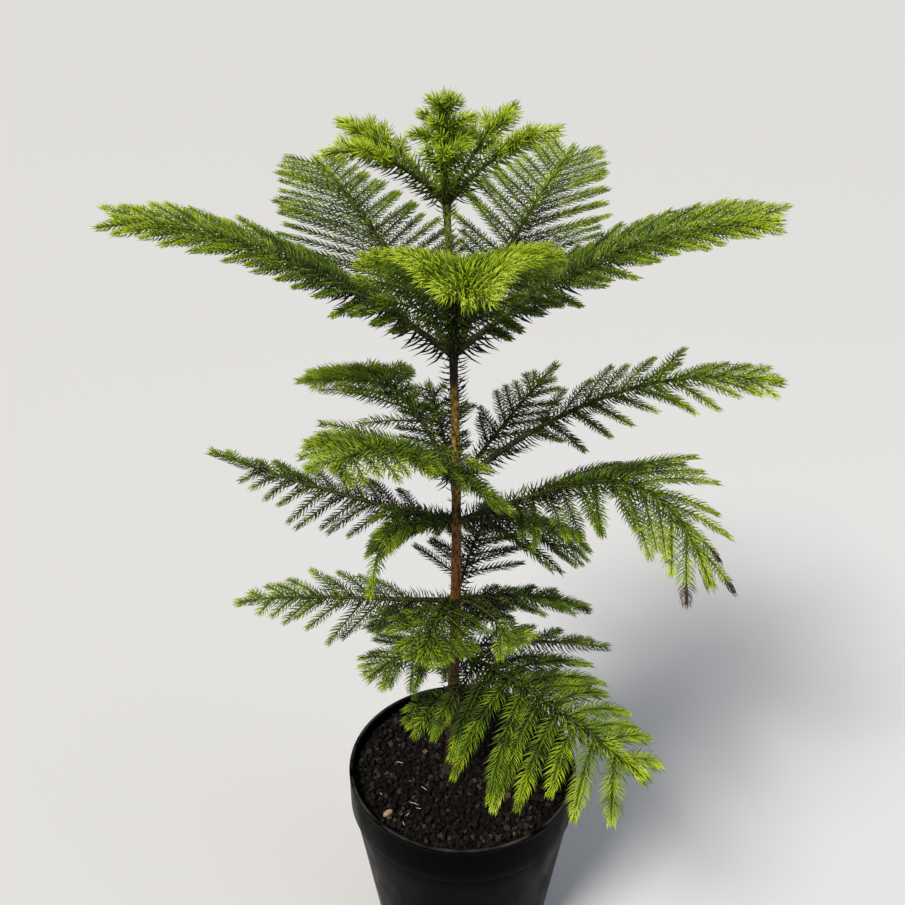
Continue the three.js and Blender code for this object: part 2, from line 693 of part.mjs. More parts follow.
const bole = trunkGeometry();
const trunk = solidOf(bole);
addPiece('trunk', bole, COLOURS.bark, 0.8);

const heights = trunkHeights();
occupy('trunk', heights.map(trunkAxis), (i) => trunkRadius(heights[i]) - NEEDLE_REACH * 0.5);

const boughs = WHORLS.flatMap((whorl, w) => (
  whorl.boughs.map((own, b) => boughOf(whorl, own, 100 * (w + 1) + b))));

for (const bough of boughs) {
  const shares = evenSteps(bough.root, 1, STEM_STEPS * 2);
  occupy(bough.label, shares.map(bough.curve), (i) => (shares[i] > 0.6 ? NEEDLE_REACH : bough.radius(shares[i])));
}

for (const bough of boughs) {
  if (bough.limb > 0) addPiece(`bough_${bough.label}`, boughGeometry(bough, trunk), COLOURS.wood, 0.85);
  addPiece(`foliage_${bough.label}`, foliageGeometry(bough, trunk), COLOURS[bough.tone], 0.6);
}
addPiece('foliage_leader', leaderGeometry(), COLOURS.young, 0.6);

export default plant;
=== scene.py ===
"""A young Norfolk Island pine in a black nursery pot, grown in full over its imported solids.

The scene is in metres, +Z up. Growth is worked out in millimetres by the rules that the solids
follow, with more and finer twigs, and every mesh is scaled to metres as it is made.
"""

import math

import bpy
import numpy as np
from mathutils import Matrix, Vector


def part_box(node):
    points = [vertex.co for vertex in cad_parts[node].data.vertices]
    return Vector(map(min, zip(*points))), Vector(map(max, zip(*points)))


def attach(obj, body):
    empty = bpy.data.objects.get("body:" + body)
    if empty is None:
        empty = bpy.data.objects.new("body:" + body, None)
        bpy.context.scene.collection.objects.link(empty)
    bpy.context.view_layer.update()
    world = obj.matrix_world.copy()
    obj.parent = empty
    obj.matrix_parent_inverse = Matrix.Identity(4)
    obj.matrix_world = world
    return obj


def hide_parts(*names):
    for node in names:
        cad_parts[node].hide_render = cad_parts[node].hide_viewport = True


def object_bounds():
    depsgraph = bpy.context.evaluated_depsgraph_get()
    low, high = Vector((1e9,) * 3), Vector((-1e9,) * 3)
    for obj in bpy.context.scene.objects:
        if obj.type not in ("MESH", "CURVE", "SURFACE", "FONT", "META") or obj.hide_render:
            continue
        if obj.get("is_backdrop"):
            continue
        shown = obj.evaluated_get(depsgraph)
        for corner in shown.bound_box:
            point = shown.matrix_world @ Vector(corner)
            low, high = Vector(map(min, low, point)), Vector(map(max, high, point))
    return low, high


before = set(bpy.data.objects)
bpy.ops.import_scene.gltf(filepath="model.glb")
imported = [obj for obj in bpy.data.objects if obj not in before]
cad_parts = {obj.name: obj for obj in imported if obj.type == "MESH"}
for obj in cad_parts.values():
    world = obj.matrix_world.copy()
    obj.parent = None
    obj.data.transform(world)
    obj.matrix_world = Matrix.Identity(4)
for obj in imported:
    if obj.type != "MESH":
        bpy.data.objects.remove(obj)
solid_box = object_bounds()

# ---------------------------------------------------------------- sizes, in millimetres

MM = 0.001
UP = np.array([0.0, 0.0, 1.0])
RIGHT = np.array([1.0, 0.0, 0.0])
CLEARANCE = 0.3

POT_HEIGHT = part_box("pot")[1].z / MM
RIM_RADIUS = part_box("pot")[1].x / MM
SOIL_TOP = 228
SOIL_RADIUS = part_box("soil")[1].x / MM
TRUNK_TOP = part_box("trunk")[1].z / MM

POT_WALL = 1.8
POT_SIDES = 160
LIP_DEPTH = 45          # height of the collar under the lip
LIP_STEP = 3.2          # how far the collar stands out from the wall
LIP_ROUND = 2.4         # radius of the rolled lip
FOOT_RADIUS = 94
BASE_THICKNESS = 2.6
BASE_RING = 40          # radius of the ring of corners that divides the flat base
DRAIN_HOLES = 6
DRAIN_RADIUS = 7
DRAIN_CIRCLE = 66

TRUNK_FOOT_X = -12      # the trunk stands a little to one side of the pot's axis
TRUNK_LEAN = -6
TRUNK_BOW = 7.5
TRUNK_FOOT_RADIUS = 6.8
TRUNK_TOP_RADIUS = 2.7
FLARE = 4.2             # extra radius of the root flare at the soil
FLARE_HEIGHT = 14
NODE_SWELL = 1.3        # extra radius where a whorl leaves the trunk
NODE_SPREAD = 7
TRUNK_RING = 1.1        # height between two rings of the trunk's corners
TRUNK_SIDES = 22

BOUGH_RADIUS = 2.9      # at the trunk, for a bough of LONG_REACH
LIMB_FLARE = 1.1        # extra radius of a bough right at the trunk
LIMB_FLARE_RUN = 9
STEM_TIP_RADIUS = 0.9
LONG_REACH = 270
TWIG_RADIUS = 1.0
TWIG_TIP_RADIUS = 0.45
TWIG_ROOT = 7           # bare length where a twig leaves its stem
TWIG_SEGMENT = 40       # stretch of twig that is tested for room
NEEDLE_REACH = 6        # room kept round a twig for its needles
SHORTEST_TWIG = 16
INNER_TWIG = 0.72       # length of the innermost twig against the longest one
TWIG_SWELL = 1.6        # how fast twigs lengthen from there along the bough
LAST_TWIG = 0.95        # share of the bough at which its outermost twigs stand
PLACE_PLAY = 0.3        # share of a pair's run over which the place of a twig varies
TWIG_PLAY = 0.28        # share by which the lengths of twigs vary
SPREAD_LOSS = 16        # degrees by which the outermost twigs lie closer to the bough
ANGLE_PLAY = 18         # degrees over which a twig's spread and lift vary
TWIG_CURL = 0.1         # how far a twig bends forward along the bough
FITTED_SHARES = (1, 0.8, 0.6, 0.45)     # of a twig's length, tried till one has room
FAR_APART = 120         # stretches that start farther apart than this can't touch

# Heights are above the underside of the pot. reach, rise, arch and hook shape the curve of a
# bough: level distance to its tip, height gained at the tip, bow above the straight line, and
# how far the outer end hangs below that. bare is the share of the bough without twigs, pairs
# the solids' twigs on each side, twig the length of the longest one, lift the upward tilt of
# the twigs, roll how far one row is tilted up and the other down, and sag the droop of each
# twig. spread is the angle of the innermost twigs to the bough, and taper how much shorter
# the outermost are than the longest. skew is how much longer one row is than the other, sweep
# how much wider it spreads, and play how freely the twigs vary. finer is the number of pairs
# here for each pair on the solids.
# limb is the share of the bough that is a bare limb. needle is the length of a needle, pace
# the run of twig for each one, bloom how far the foliage is towards its young, bright green,
# and dry the share of the bough, from its tip, whose twigs have withered ends. combed, under,
# spikes and point are told at Shoot; under is painted shade on the needles beneath. A whorl's
# value holds over the usual one, and a bough's own value over both.
USUAL_BOUGH = dict(
    arch=0, hook=0, roll=0, spread=62, taper=0.8, skew=0, sweep=0, play=1, finer=1.5,
    combed=True, under=1.8, spikes=0.45, point=0.35, dry=0)
WHORLS = [
    dict(name="1", height=849, bare=0.42, pairs=3, twig=26, lift=16, sag=0.04, limb=0.15,
         spread=54, play=0.6, combed=False, under=1.1, spikes=0.1, point=0.2, needle=12.5,
         pace=0.45, bloom=3.3, boughs=[
             dict(side="right", azimuth=345, reach=90, rise=62, arch=12),
             dict(side="back_right", azimuth=55, reach=103, rise=68, arch=10),
             dict(side="back_left", azimuth=145, reach=112, rise=57, arch=12),
             dict(side="left", azimuth=205, reach=102, rise=47, arch=16),
             dict(side="front", azimuth=268, reach=62, rise=50, arch=12, twig=22)]),
    dict(name="2", height=717, bare=0.12, pairs=8, twig=90, lift=6, sag=0.1, limb=0.1,
         play=0.4, finer=2.3, spikes=0.8, needle=12, pace=0.55, bloom=2.0, boughs=[
             dict(side="left", azimuth=198, reach=266, rise=138, arch=24, taper=0.6, roll=-6,
                  bloom=2.2),
             dict(side="right", azimuth=342, reach=256, rise=137, arch=28, taper=0.66, roll=8,
                  bloom=2.2),
             dict(side="back_left", azimuth=124, reach=252, rise=136, arch=12, twig=112,
                  lift=0, sweep=-6, skew=0.08, taper=0.68, finer=2.5, needle=11, point=0.2,
                  pace=0.62, bloom=1.75),
             dict(side="back_right", azimuth=60, reach=246, rise=146, arch=12, twig=116,
                  lift=4, skew=0.1, taper=0.7, finer=2.5, needle=11, point=0.2, pace=0.62,
                  bloom=1.95),
             dict(side="front", azimuth=272, reach=250, rise=125, arch=46, lift=12, twig=98,
                  finer=2.2, combed=False, needle=12, pace=0.5, bloom=2.7)]),
    dict(name="3", height=586, bare=0.24, pairs=6, twig=66, lift=4, sag=0.14, limb=0.2,
         needle=11, pace=0.52, bloom=1.9, boughs=[
             dict(side="right", azimuth=355, reach=284, rise=115, arch=42, pairs=8, roll=8,
                  taper=0.6, bloom=2.5),
             dict(side="back_right", azimuth=47, reach=148, rise=80, arch=4, pairs=5, twig=50,
                  bloom=1.5),
             dict(side="back", azimuth=104, reach=116, rise=58, arch=4, pairs=4, twig=56,
                  bloom=1.3),
             dict(side="back_left", azimuth=140, reach=158, rise=72, arch=44, pairs=7, twig=88,
                  lift=-2, sag=0.2, spread=70, sweep=-12, roll=8, skew=0.1, taper=0.7,
                  finer=2, combed=False, pace=0.6, bloom=2.8),
             dict(side="front_left", azimuth=236, reach=172, rise=90, arch=30, pairs=7,
                  twig=110, bare=0.1, limb=0.08, spread=74, sweep=8, sag=0.22, finer=2,
                  combed=False, pace=0.6, bloom=2.15)]),
    dict(name="4", height=546, bare=0.26, pairs=5, twig=62, lift=-6, sag=0.24, limb=0.2,
         needle=11, pace=0.52, bloom=1.8, boughs=[
             dict(side="left", azimuth=172, reach=240, rise=59, arch=-6, pairs=8, twig=66,
                  bare=0.16, roll=-10, skew=-0.15, limb=0.12, bloom=1.45),
             dict(side="front_right", azimuth=326, reach=252, rise=168, hook=145, pairs=7,
                  twig=88, taper=0.45, skew=0.12, roll=8, finer=1.7, needle=12.5, bloom=2.2,
                  dry=0.12),
             dict(side="back_right", azimuth=24, reach=142, rise=-50, arch=10, bare=0.14,
                  twig=82, limb=0.1, finer=2),
             dict(side="back_left", azimuth=138, reach=120, rise=-66, arch=6, bare=0.14,
                  twig=60, limb=0.1, finer=2),
             dict(side="front_left", azimuth=214, reach=98, rise=58, hook=105, bare=0.16,
                  pairs=4, twig=44, limb=0.1, bloom=1.9)]),
    dict(name="5", height=454, bare=0.12, pairs=5, twig=66, lift=6, sag=0.16, limb=0,
         finer=1.6, needle=11.5, pace=0.56, bloom=2.1, boughs=[
             dict(side="left", azimuth=187, reach=214, rise=30, arch=-2, hook=14, pairs=6,
                  twig=60, roll=-10, bare=0.22, limb=0.2, finer=1.5),
             dict(side="right", azimuth=6, reach=136, rise=-18, arch=10, twig=56, roll=-12,
                  skew=-0.2, limb=0.14, bloom=1.4, dry=0.3),
             dict(side="back", azimuth=74, reach=116, rise=24, arch=10, twig=72, roll=6,
                  bloom=1.4),
             dict(side="front_left", azimuth=250, reach=96, rise=-4, arch=12, bloom=1.85),
             dict(side="front_right", azimuth=306, reach=96, rise=2, arch=14, bloom=1.85)]),
    dict(name="6", height=392, bare=0.12, pairs=5, twig=62, lift=2, sag=0.16, limb=0,
         finer=1.6, needle=11.5, pace=0.56, bloom=1.9, boughs=[
             dict(side="left", azimuth=212, reach=100, rise=6, arch=14),
             dict(side="front_right", azimuth=312, reach=244, rise=5, arch=12, bare=0.14,
                  pairs=6, twig=104, sag=0.38, roll=8, spread=80, taper=0.66, skew=-0.1,
                  limb=0.12, finer=1.5, needle=17, point=0.5, pace=0.5, bloom=2.4),
             dict(side="right", azimuth=358, reach=156, rise=8, arch=8, twig=50, bloom=1.3),
             dict(side="back_right", azimuth=62, reach=104, rise=-4, arch=12, bloom=1.2),
             dict(side="back_left", azimuth=138, reach=112, rise=-4, arch=12, bloom=1.4)]),
    dict(name="7", height=339, bare=0.16, pairs=4, twig=48, lift=0, sag=0.2, limb=0,
         needle=11, pace=0.52, bloom=1.6, boughs=[
             dict(side="front_left", azimuth=236, reach=70, rise=-10, arch=10, twig=38,
                  pairs=3, bloom=2.2),
             dict(side="right", azimuth=4, reach=144, rise=-2, arch=10, bloom=1.2, dry=0.4),
             dict(side="back", azimuth=104, reach=100, rise=-8, arch=12, bloom=1.2)]),
]

LEADER_HEIGHT = 42      # stem that goes on above the trunk
LEADER_TIP_RADIUS = 0.8
LEADER_SAG = 0.3        # how far its twigs arch over
LEADER_TIERS = [
    dict(share=0.18, twigs=6, length=34, climb=34),
    dict(share=0.42, twigs=5, length=33, climb=46),
    dict(share=0.78, twigs=5, length=23, climb=54),
]

# From the darkest foliage to the brightest. A needle takes its colour from its spray.
TONES = ["shaded", "deep", "fresh", "young", "tip"]
TONE_COLOURS = {
    "shaded": ("#0e1504", "#182108"),
    "deep": ("#33480a", "#475e12"),
    "fresh": ("#617c15", "#7a961f"),
    "young": ("#8da812", "#a5bc26"),
    "tip": ("#b0cb2e", "#c8dc4e"),
    "withered": ("#2f2717", "#54432a"),
}
NEEDLES_PER_PIECE = 19000


# ---------------------------------------------------------------- small helpers

def seeded_series(seed):
    """The same series of numbers between 0 and 1 for the same seed, as on the solids."""
    state = seed
    while True:
        state = (state * 1664525 + 1013904223) & 0xFFFFFFFF
        yield state / 4294967296


def unit(vectors):
    """Vectors of length one, singly or in rows."""
    return vectors / np.linalg.norm(vectors, axis=-1, keepdims=True)


def eased(value):
    """Zero below 0, one above 1, and smooth between."""
    value = np.clip(value, 0, 1)
    return value * value * (3 - 2 * value)


def linear(code):
    """A colour such as #88aa33 as the red, green, blue and alpha that a shader takes."""
    parts = [int(code[i:i + 2], 16) / 255 for i in (1, 3, 5)]
    return [p / 12.92 if p <= 0.04045 else ((p + 0.055) / 1.055) ** 2.4 for p in parts] + [1.0]


def line_frames(line, reference):
    """At each point of a line: the way along it and two directions square to it."""
    along = unit(np.gradient(line, axis=0))
    across = unit(reference - (along @ reference)[:, None] * along)
    return along, across, np.cross(along, across)


def mesh_piece(name, corners, faces, material):
    """A smooth piece from corners in millimetres, riding on the plant's one body."""
    mesh = bpy.data.meshes.new(name)
    mesh.from_pydata((np.asarray(corners) * MM).tolist(), [], faces)
    mesh.materials.append(material)
    mesh.polygons.foreach_set("use_smooth", [True] * len(mesh.polygons))
    piece = bpy.data.objects.new(name, mesh)
    bpy.context.scene.collection.objects.link(piece)
    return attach(piece, "root")


def round_faces(rows, sides):
    """Four-sided faces between rows of corners round a body, closed at both ends by fans to
    the two corners that come last, foot and top."""
    row, side = np.meshgrid(np.arange(rows - 1), np.arange(sides), indexing="ij")
    a = (row * sides + side).ravel()
    b = (row * sides + (side + 1) % sides).ravel()
    faces = np.stack([a, b, b + sides, a + sides], axis=1).tolist()
    foot = rows * sides
    last = foot - sides
    for k in range(sides):
        after = (k + 1) % sides
        faces.append([foot, after, k])
        faces.append([foot + 1, last + k, last + after])
    return faces


def tube(line, radii, sides, reference, relief=None):
    """Corners and faces of a closed round body along a line. relief(turn, run) gives extra
    radius for an angle round the body and a distance along it."""
    _, across, other = line_frames(line, reference)
    turn = np.arange(sides) * 2 * np.pi / sides
    run = np.concatenate([[0], np.cumsum(np.linalg.norm(np.diff(line, axis=0), axis=1))])
    reach = np.repeat(np.asarray(radii, float)[:, None], sides, axis=1)
    if relief is not None:
        reach = reach + relief(turn[None, :], run[:, None])
    round_about = (np.cos(turn)[None, :, None] * across[:, None, :]
                   + np.sin(turn)[None, :, None] * other[:, None, :])
    rings = line[:, None, :] + reach[:, :, None] * round_about
    caps = np.array([line[0], line[-1]])
    return np.concatenate([rings.reshape(-1, 3), caps]), round_faces(len(line), sides)


class Joined:
    """Corners and faces of many small bodies that become one piece."""

    def __init__(self):
        self.corners = []
        self.faces = []
        self.count = 0

    def add(self, corners, faces):
        self.faces.extend([[c + self.count for c in face] for face in faces])
        self.corners.append(corners)
        self.count += len(corners)

    def piece(self, name, material):
        return mesh_piece(name, np.concatenate(self.corners), self.faces, material)


# ---------------------------------------------------------------- growth, by the solids' rules

def trunk_axis(height):
    """Centre of the trunk at one height or at many."""
    height = np.asarray(height, float)
    share = (height - SOIL_TOP) / (TRUNK_TOP - SOIL_TOP)
    bow = np.sin(np.pi * np.maximum(share, 0) ** 1.15)
    x = TRUNK_FOOT_X + TRUNK_LEAN * share + TRUNK_BOW * bow
    return np.stack([x, np.zeros_like(x), height], axis=-1)


def trunk_radius(height):
    """The trunk's taper, with the root flare and the swell at each whorl."""
    height = np.asarray(height, float)
    share = np.clip((height - SOIL_TOP) / (TRUNK_TOP - SOIL_TOP), 0, 1)
    taper = TRUNK_FOOT_RADIUS + (TRUNK_TOP_RADIUS - TRUNK_FOOT_RADIUS) * share ** 0.8
    flare = FLARE * np.exp(-np.maximum(height - SOIL_TOP, 0) / FLARE_HEIGHT)
    swell = np.max([NODE_SWELL * np.exp(-((height - whorl["height"]) / NODE_SPREAD) ** 2)
                    for whorl in WHORLS], axis=0)
    return taper + flare + swell * (1 - 0.5 * share)


class Bough:
    """A bough with the values of its whorl and its own, and the curve that they give."""

    def __init__(self, whorl, own, seed):
        vars(self).update({**USUAL_BOUGH, **whorl, **own})
        self.seed = seed
        self.label = f"{whorl['name']}_{own['side']}"
        turn = math.radians(self.azimuth)
        self.outward = np.array([math.cos(turn), math.sin(turn), 0.0])
        self.sideways = np.array([-math.sin(turn), math.cos(turn), 0.0])
        self.start = trunk_axis(self.height)
        self.root = float((trunk_radius(self.height) + BOUGH_RADIUS * 0.5 + CLEARANCE) / self.reach)
        self.handover = self.limb if self.limb > 0 else self.root

    def curve(self, t):
        """The bough's centre at a share of its reach, or at many."""
        t = np.asarray(t, float)[..., None]
        height = self.rise * t + self.arch * 4 * t * (1 - t) - self.hook * t ** 5
        return self.start + self.outward * self.reach * t + UP * height

    def heading(self, t):
        """The way the bough runs at a share of its reach."""
        slope = self.rise + self.arch * 4 * (1 - 2 * t) - 5 * self.hook * t ** 4
        return unit(self.outward * self.reach + UP * slope)

    def radius(self, t):
        stout = BOUGH_RADIUS * (0.45 + 0.55 * min(self.reach / LONG_REACH, 1))
        return STEM_TIP_RADIUS + (stout - STEM_TIP_RADIUS) * (1 - np.asarray(t, float))


def twig_plan(bough):
    """The two rows of twigs along a bough: where each leaves it, which way and how long."""
    draw = seeded_series(bough.seed)
    pairs = round(bough.pairs * bough.finer)
    for i in range(pairs):
        for hand in (-1, 1):
            share = (i + (0.5 if hand > 0 else 0) + PLACE_PLAY * bough.play * next(draw)) / pairs
            t = bough.bare + (LAST_TWIG - bough.bare) * share
            swell = min(1, INNER_TWIG + TWIG_SWELL * share)
            taper = (1 - bough.taper * share ** 1.5) * (1 + bough.skew * hand)
            length = bough.twig * swell * taper * (1 - TWIG_PLAY * bough.play * (0.64 - next(draw)))
            angle = bough.spread + bough.sweep * hand - SPREAD_LOSS * share
            spread = math.radians(angle + ANGLE_PLAY * bough.play * (next(draw) - 0.5))
            tilt = bough.lift * (0.4 + 1.2 * share) + bough.roll * hand
            lift = math.radians(tilt + ANGLE_PLAY * bough.play * (next(draw) - 0.5))
            t = max(t, bough.handover + TWIG_ROOT / bough.reach)
            yield dict(t=t, share=share, hand=hand, length=length, spread=spread, lift=lift)


def twig_line(bough, twig, length, points):
    """A twig's centre line: straight out, then forward along the bough and down."""
    root = bough.curve(twig["t"])
    along = bough.heading(twig["t"])
    side = bough.sideways * twig["hand"]
    above = unit(np.cross(along, side) * -twig["hand"])
    if above[2] < 0:
        above = -above
    out = side * math.cos(twig["lift"]) + above * math.sin(twig["lift"])
    heading = along * math.cos(twig["spread"]) + out * math.sin(twig["spread"])
    s = np.linspace(0, 1, points)[:, None] * length
    return root + heading * s + (along * TWIG_CURL - UP * bough.sag) * s * s / length


class Room:
    """The stretches of limb and twig that other masses keep clear of."""

    def __init__(self):
        self.stretches = []

    def occupy(self, owner, line, reach):
        for i in range(len(line) - 1):
            self.stretches.append((owner, line[i], line[i + 1], reach[i]))

    def others(self, owner):
        found = [stretch for stretch in self.stretches if stretch[0] != owner]
        starts, ends, reach = (np.array([stretch[k] for stretch in found]) for k in (1, 2, 3))
        return starts, ends, reach

    @staticmethod
    def is_clear(line, others):
        starts, ends, reach = others
        room = NEEDLE_REACH + reach + CLEARANCE
        for a, b in zip(line[:-1], line[1:]):
            near = np.linalg.norm(starts - a, axis=1) < FAR_APART + room
            gaps = stretch_distances(a, b, starts[near], ends[near])
            if np.any(gaps < room[near]):
                return False
        return True


def stretch_distances(a, b, starts, ends):
    """Shortest distance from the stretch a-b to each of many others."""
    u, v, w = b - a, ends - starts, a - starts
    uu, vv = u @ u, (v * v).sum(axis=1)
    uv, uw, vw = v @ u, w @ u, (v * w).sum(axis=1)
    spread = np.maximum(uu * vv - uv * uv, 1e-9)
    s = np.clip((uv * vw - vv * uw) / spread, 0, 1)
    t = np.clip((uv * s + vw) / vv, 0, 1)
    s = np.clip((uv * t - uw) / uu, 0, 1)
    return np.linalg.norm(w + s[:, None] * u - t[:, None] * v, axis=1)


def clear_of_pot(line):
    """Whether a twig along a line keeps its needles off the pot."""
    room = NEEDLE_REACH + 2
    over_pot = np.hypot(line[:, 0], line[:, 1]) < RIM_RADIUS + room
    return not np.any(over_pot & (line[:, 2] <= POT_HEIGHT + room))


def fitted_length(bough, twig, others):
    """The greatest length of a twig that has room, or nothing."""
    for share in FITTED_SHARES:
        length = twig["length"] * share
        if length < SHORTEST_TWIG:
            return None
        segments = max(1, round((length - TWIG_ROOT) / TWIG_SEGMENT))
        line = twig_line(bough, twig, length, segments + 1)
        if Room.is_clear(line, others) and clear_of_pot(line):
            return length
    return None


# ---------------------------------------------------------------- shoots and their needles

NEEDLE_FACES = np.array([
    [2, 1, 0], [0, 1, 4], [0, 4, 3], [1, 2, 5], [1, 5, 4], [2, 0, 3], [2, 3, 5],
    [3, 4, 6], [4, 5, 6], [5, 3, 6]])
NEEDLE_CORNERS = 7
NEEDLE_GIRTH = 0.3      # width of the shortest needle
NEEDLE_STOUT = 0.072    # how much the width grows with the length
NEEDLE_BEND = 16        # degrees by which its outer half turns towards the shoot's tip
TIP_CURL = 34           # further degrees at the end of a shoot, where they close over its bud
TIP_CROWDING = 1.25     # how much closer together the needles stand towards that end
SPIRAL_TURN = math.radians(137.5)
COMB_TURNS = np.radians([-10, 170, 62, 242, 10, 190, 118, 298])
COMB_CLOSENESS = 0.34   # how much closer the needles on top of a combed shoot lie
SPLAY_PLAY = 4          # degrees over which the angle of single needles varies
SPRAY_LENGTH = 9.0      # stretch of shoot whose needles have one tone
TONE_PLAY = 0.38        # how freely the tones of such stretches vary
WITHERED_SHARE = 0.3    # how much of a withered twig has died back


class Shoot:
    """A stretch of plant that needles stand out of.

    line and radius are its centre and thickness, and reference the side from which turns round
    it are counted. needle is the length of a needle, pace the run of shoot for each one, splay
    their angle from the shoot at its foot and at its tip, bloom the tone at its foot and at its
    tip, counted in TONES, and under how much darker they are beneath, as painted shade.
    spikes is how much longer they are beneath, near the foot, and point how much shorter at the
    tip. withered is the share of the shoot that has died back from the tip. A tuft closes over
    a bud at its tip. A combed shoot carries most of its needles in two rows to the sides, and
    the others lie closer.
    """

    def __init__(self, line, radius, reference, needle, pace, splay, bloom, *, seed, under=0.0,
                 withered=0.0, spikes=0.0, point=0.3, tuft=True, combed=True):
        self.line = line
        self.radius = np.asarray(radius, float)
        self.reference = reference
        self.needle = needle
        self.pace = pace
        self.splay = splay
        self.bloom = bloom
        self.under = under
        self.withered = withered
        self.spikes = spikes
        self.point = point
        self.tuft = tuft
        self.combed = combed
        self.draw = np.random.default_rng(seed)

    def needles(self):
        """Corners of every needle, and the tone that each one's spray was dealt."""
        along, across, other = line_frames(self.line, self.reference)
        steps = np.linalg.norm(np.diff(self.line, axis=0), axis=1)
        run = np.concatenate([[0], np.cumsum(steps)])
        total = run[-1]
        count = int(total / self.pace)
        share = (np.arange(count) + 0.7 * self.draw.random(count)) / count
        if self.tuft:
            share = 1 - (1 - share) ** TIP_CROWDING
        at = share * total

        def sampled(rows):
            return np.stack([np.interp(at, run, column) for column in rows.T], axis=1)

        if self.combed:
            turn = COMB_TURNS[np.arange(count) % len(COMB_TURNS)] + self.draw.normal(0, 0.12, count)
            closeness = COMB_CLOSENESS * np.abs(np.sin(turn))
        else:
            turn = np.arange(count) * SPIRAL_TURN + self.draw.normal(0, 0.2, count)
            closeness = np.zeros(count)
        ahead = unit(sampled(along))
        outward = unit(np.cos(turn)[:, None] * sampled(across)
                       + np.sin(turn)[:, None] * sampled(other))
        splay = np.radians(self.splay[0] + (self.splay[1] - self.splay[0]) * share ** 1.5
                           + self.draw.normal(0, SPLAY_PLAY, count)) * (1 - closeness)
        length = self.needle * (0.88 + 0.24 * self.draw.random(count)) * (1 - 0.7 * closeness)
        if self.tuft:
            length *= 1 - self.point * eased((share - 0.6) / 0.4)
        foot = sampled(self.line) + outward * (np.interp(at, run, self.radius) * 0.5)[:, None]
        length *= 1 + self.spikes * np.clip(-outward[:, 2], 0, 1) * (1 - share)
        curl = TIP_CURL * eased((share - 0.7) / 0.3) if self.tuft else 0
        corners = needle_corners(foot, ahead, outward, splay, np.radians(NEEDLE_BEND + curl), length)
        return corners, self.dealt_tones(at, share, outward)

    def dealt_tones(self, at, share, outward):
        """A tone for each needle, the same all over a spray but for painted shade on the needles
        beneath.
        """
        spray = (at / SPRAY_LENGTH).astype(int)
        shift = self.draw.normal(0, TONE_PLAY, spray.max() + 1)[spray]
        bloom = self.bloom[0] + (self.bloom[1] - self.bloom[0]) * share ** 1.6
        # Painted shade: needles that point down are dealt darker tones.
        beneath = self.under * np.clip(-outward[:, 2], 0, 1)
        tone = np.clip(np.rint(bloom + shift - beneath), 0, len(TONES) - 1).astype(int)
        withered = share > 1 - self.withered
        return np.where(withered, len(TONES), tone)


def needle_corners(foot, ahead, outward, splay, bend, length):
    """Curved three-sided needles, seven corners each, that bend forward along the shoot."""
    bent = splay - bend
    girth = NEEDLE_GIRTH + NEEDLE_STOUT * length[:, None]
    lean = np.cos(splay)[:, None] * ahead + np.sin(splay)[:, None] * outward
    tip_lean = np.cos(bent)[:, None] * ahead + np.sin(bent)[:, None] * outward
    knee = foot + lean * (length * 0.5)[:, None]
    tip = knee + tip_lean * (length * 0.52)[:, None]
    broad = unit(np.cross(ahead, outward))
    thick = np.cross(broad, lean)
    corners = np.empty((len(foot), NEEDLE_CORNERS, 3))
    for k, turn in enumerate(np.radians([90, 210, 330])):
        edge = broad * math.cos(turn) + thick * math.sin(turn)
        corners[:, k] = foot + edge * girth * 0.42
        corners[:, k + 3] = knee + edge * girth * 0.5
    corners[:, -1] = tip
    return corners


def twig_shoot(bough, twig, length, seed):
    """A twig as it grows in full, from its stem to its pointed end."""
    line = twig_line(bough, twig, length, max(4, round(length / 5)))
    run = np.linspace(0, 1, len(line))
    radius = TWIG_RADIUS + (TWIG_TIP_RADIUS - TWIG_RADIUS) * run
    # Inner twigs are dealt darker tones than outer ones: partly older foliage, partly painted shade
    # inside the crown.
    bloom = bough.bloom + 1.9 * (twig["share"] - 0.6)
    return Shoot(
        line, radius, np.cross(unit(line[-1] - line[0]), UP), bough.needle, bough.pace, (62, 52),
        (bloom - 0.7, bloom + 0.9), under=0.9, seed=seed, combed=bough.combed,
        point=bough.point, withered=WITHERED_SHARE if twig["share"] > 1 - bough.dry else 0.0)


def stem_shoot(bough, seed):
    """The stem of a bough, whose needles are longer and stiffer, and darker beneath with painted
    shade.
    """
    t = np.linspace(bough.root, 1, max(8, round(bough.reach / 6)))
    # Needles darken towards the stem's foot by the trunk: partly older foliage, partly painted shade
    # inside the crown.
    return Shoot(
        bough.curve(t), bough.radius(t), bough.sideways, bough.needle * 1.15, bough.pace, (76, 50),
        (bough.bloom - 1.5, bough.bloom + 0.9), under=bough.under, spikes=bough.spikes,
        seed=seed, combed=False)


def trunk_shoots():
    """Needles left on the trunk between the upper whorls, spikier and darker lower down, with painted
    shade darkest just under the second whorl.
    """
    stretches = [
        dict(low=840, high=TRUNK_TOP, needle=10.5, pace=0.6, splay=(62, 50), bloom=(2.0, 2.6)),
        dict(low=760, high=840, needle=9, pace=1.1, splay=(66, 60), bloom=(1.6, 2.2)),
        # Painted shade: from 760 down to 604 mm the tones fall to their darkest just under the second
        # whorl.
        dict(low=722, high=760, needle=12, pace=0.7, splay=(74, 62), bloom=(0.4, 1.2)),
        dict(low=690, high=722, needle=13, pace=0.9, splay=(84, 72), bloom=(-0.2, 0.4)),
        dict(low=604, high=690, needle=14, pace=0.8, splay=(64, 62), bloom=(0.5, 0.0)),
        dict(low=548, high=604, needle=9, pace=1.8, splay=(66, 66), bloom=(0.8, 0.8)),
        dict(low=462, high=548, needle=6, pace=4.5, splay=(70, 70), bloom=(0.4, 0.4)),
    ]
    for k, stretch in enumerate(stretches):
        height = np.linspace(stretch["low"], stretch["high"], 12)
        yield Shoot(
            trunk_axis(height), trunk_radius(height) * 1.6, RIGHT,
            stretch["needle"], stretch["pace"], stretch["splay"], stretch["bloom"],
            seed=700 + k, tuft=False, combed=False)


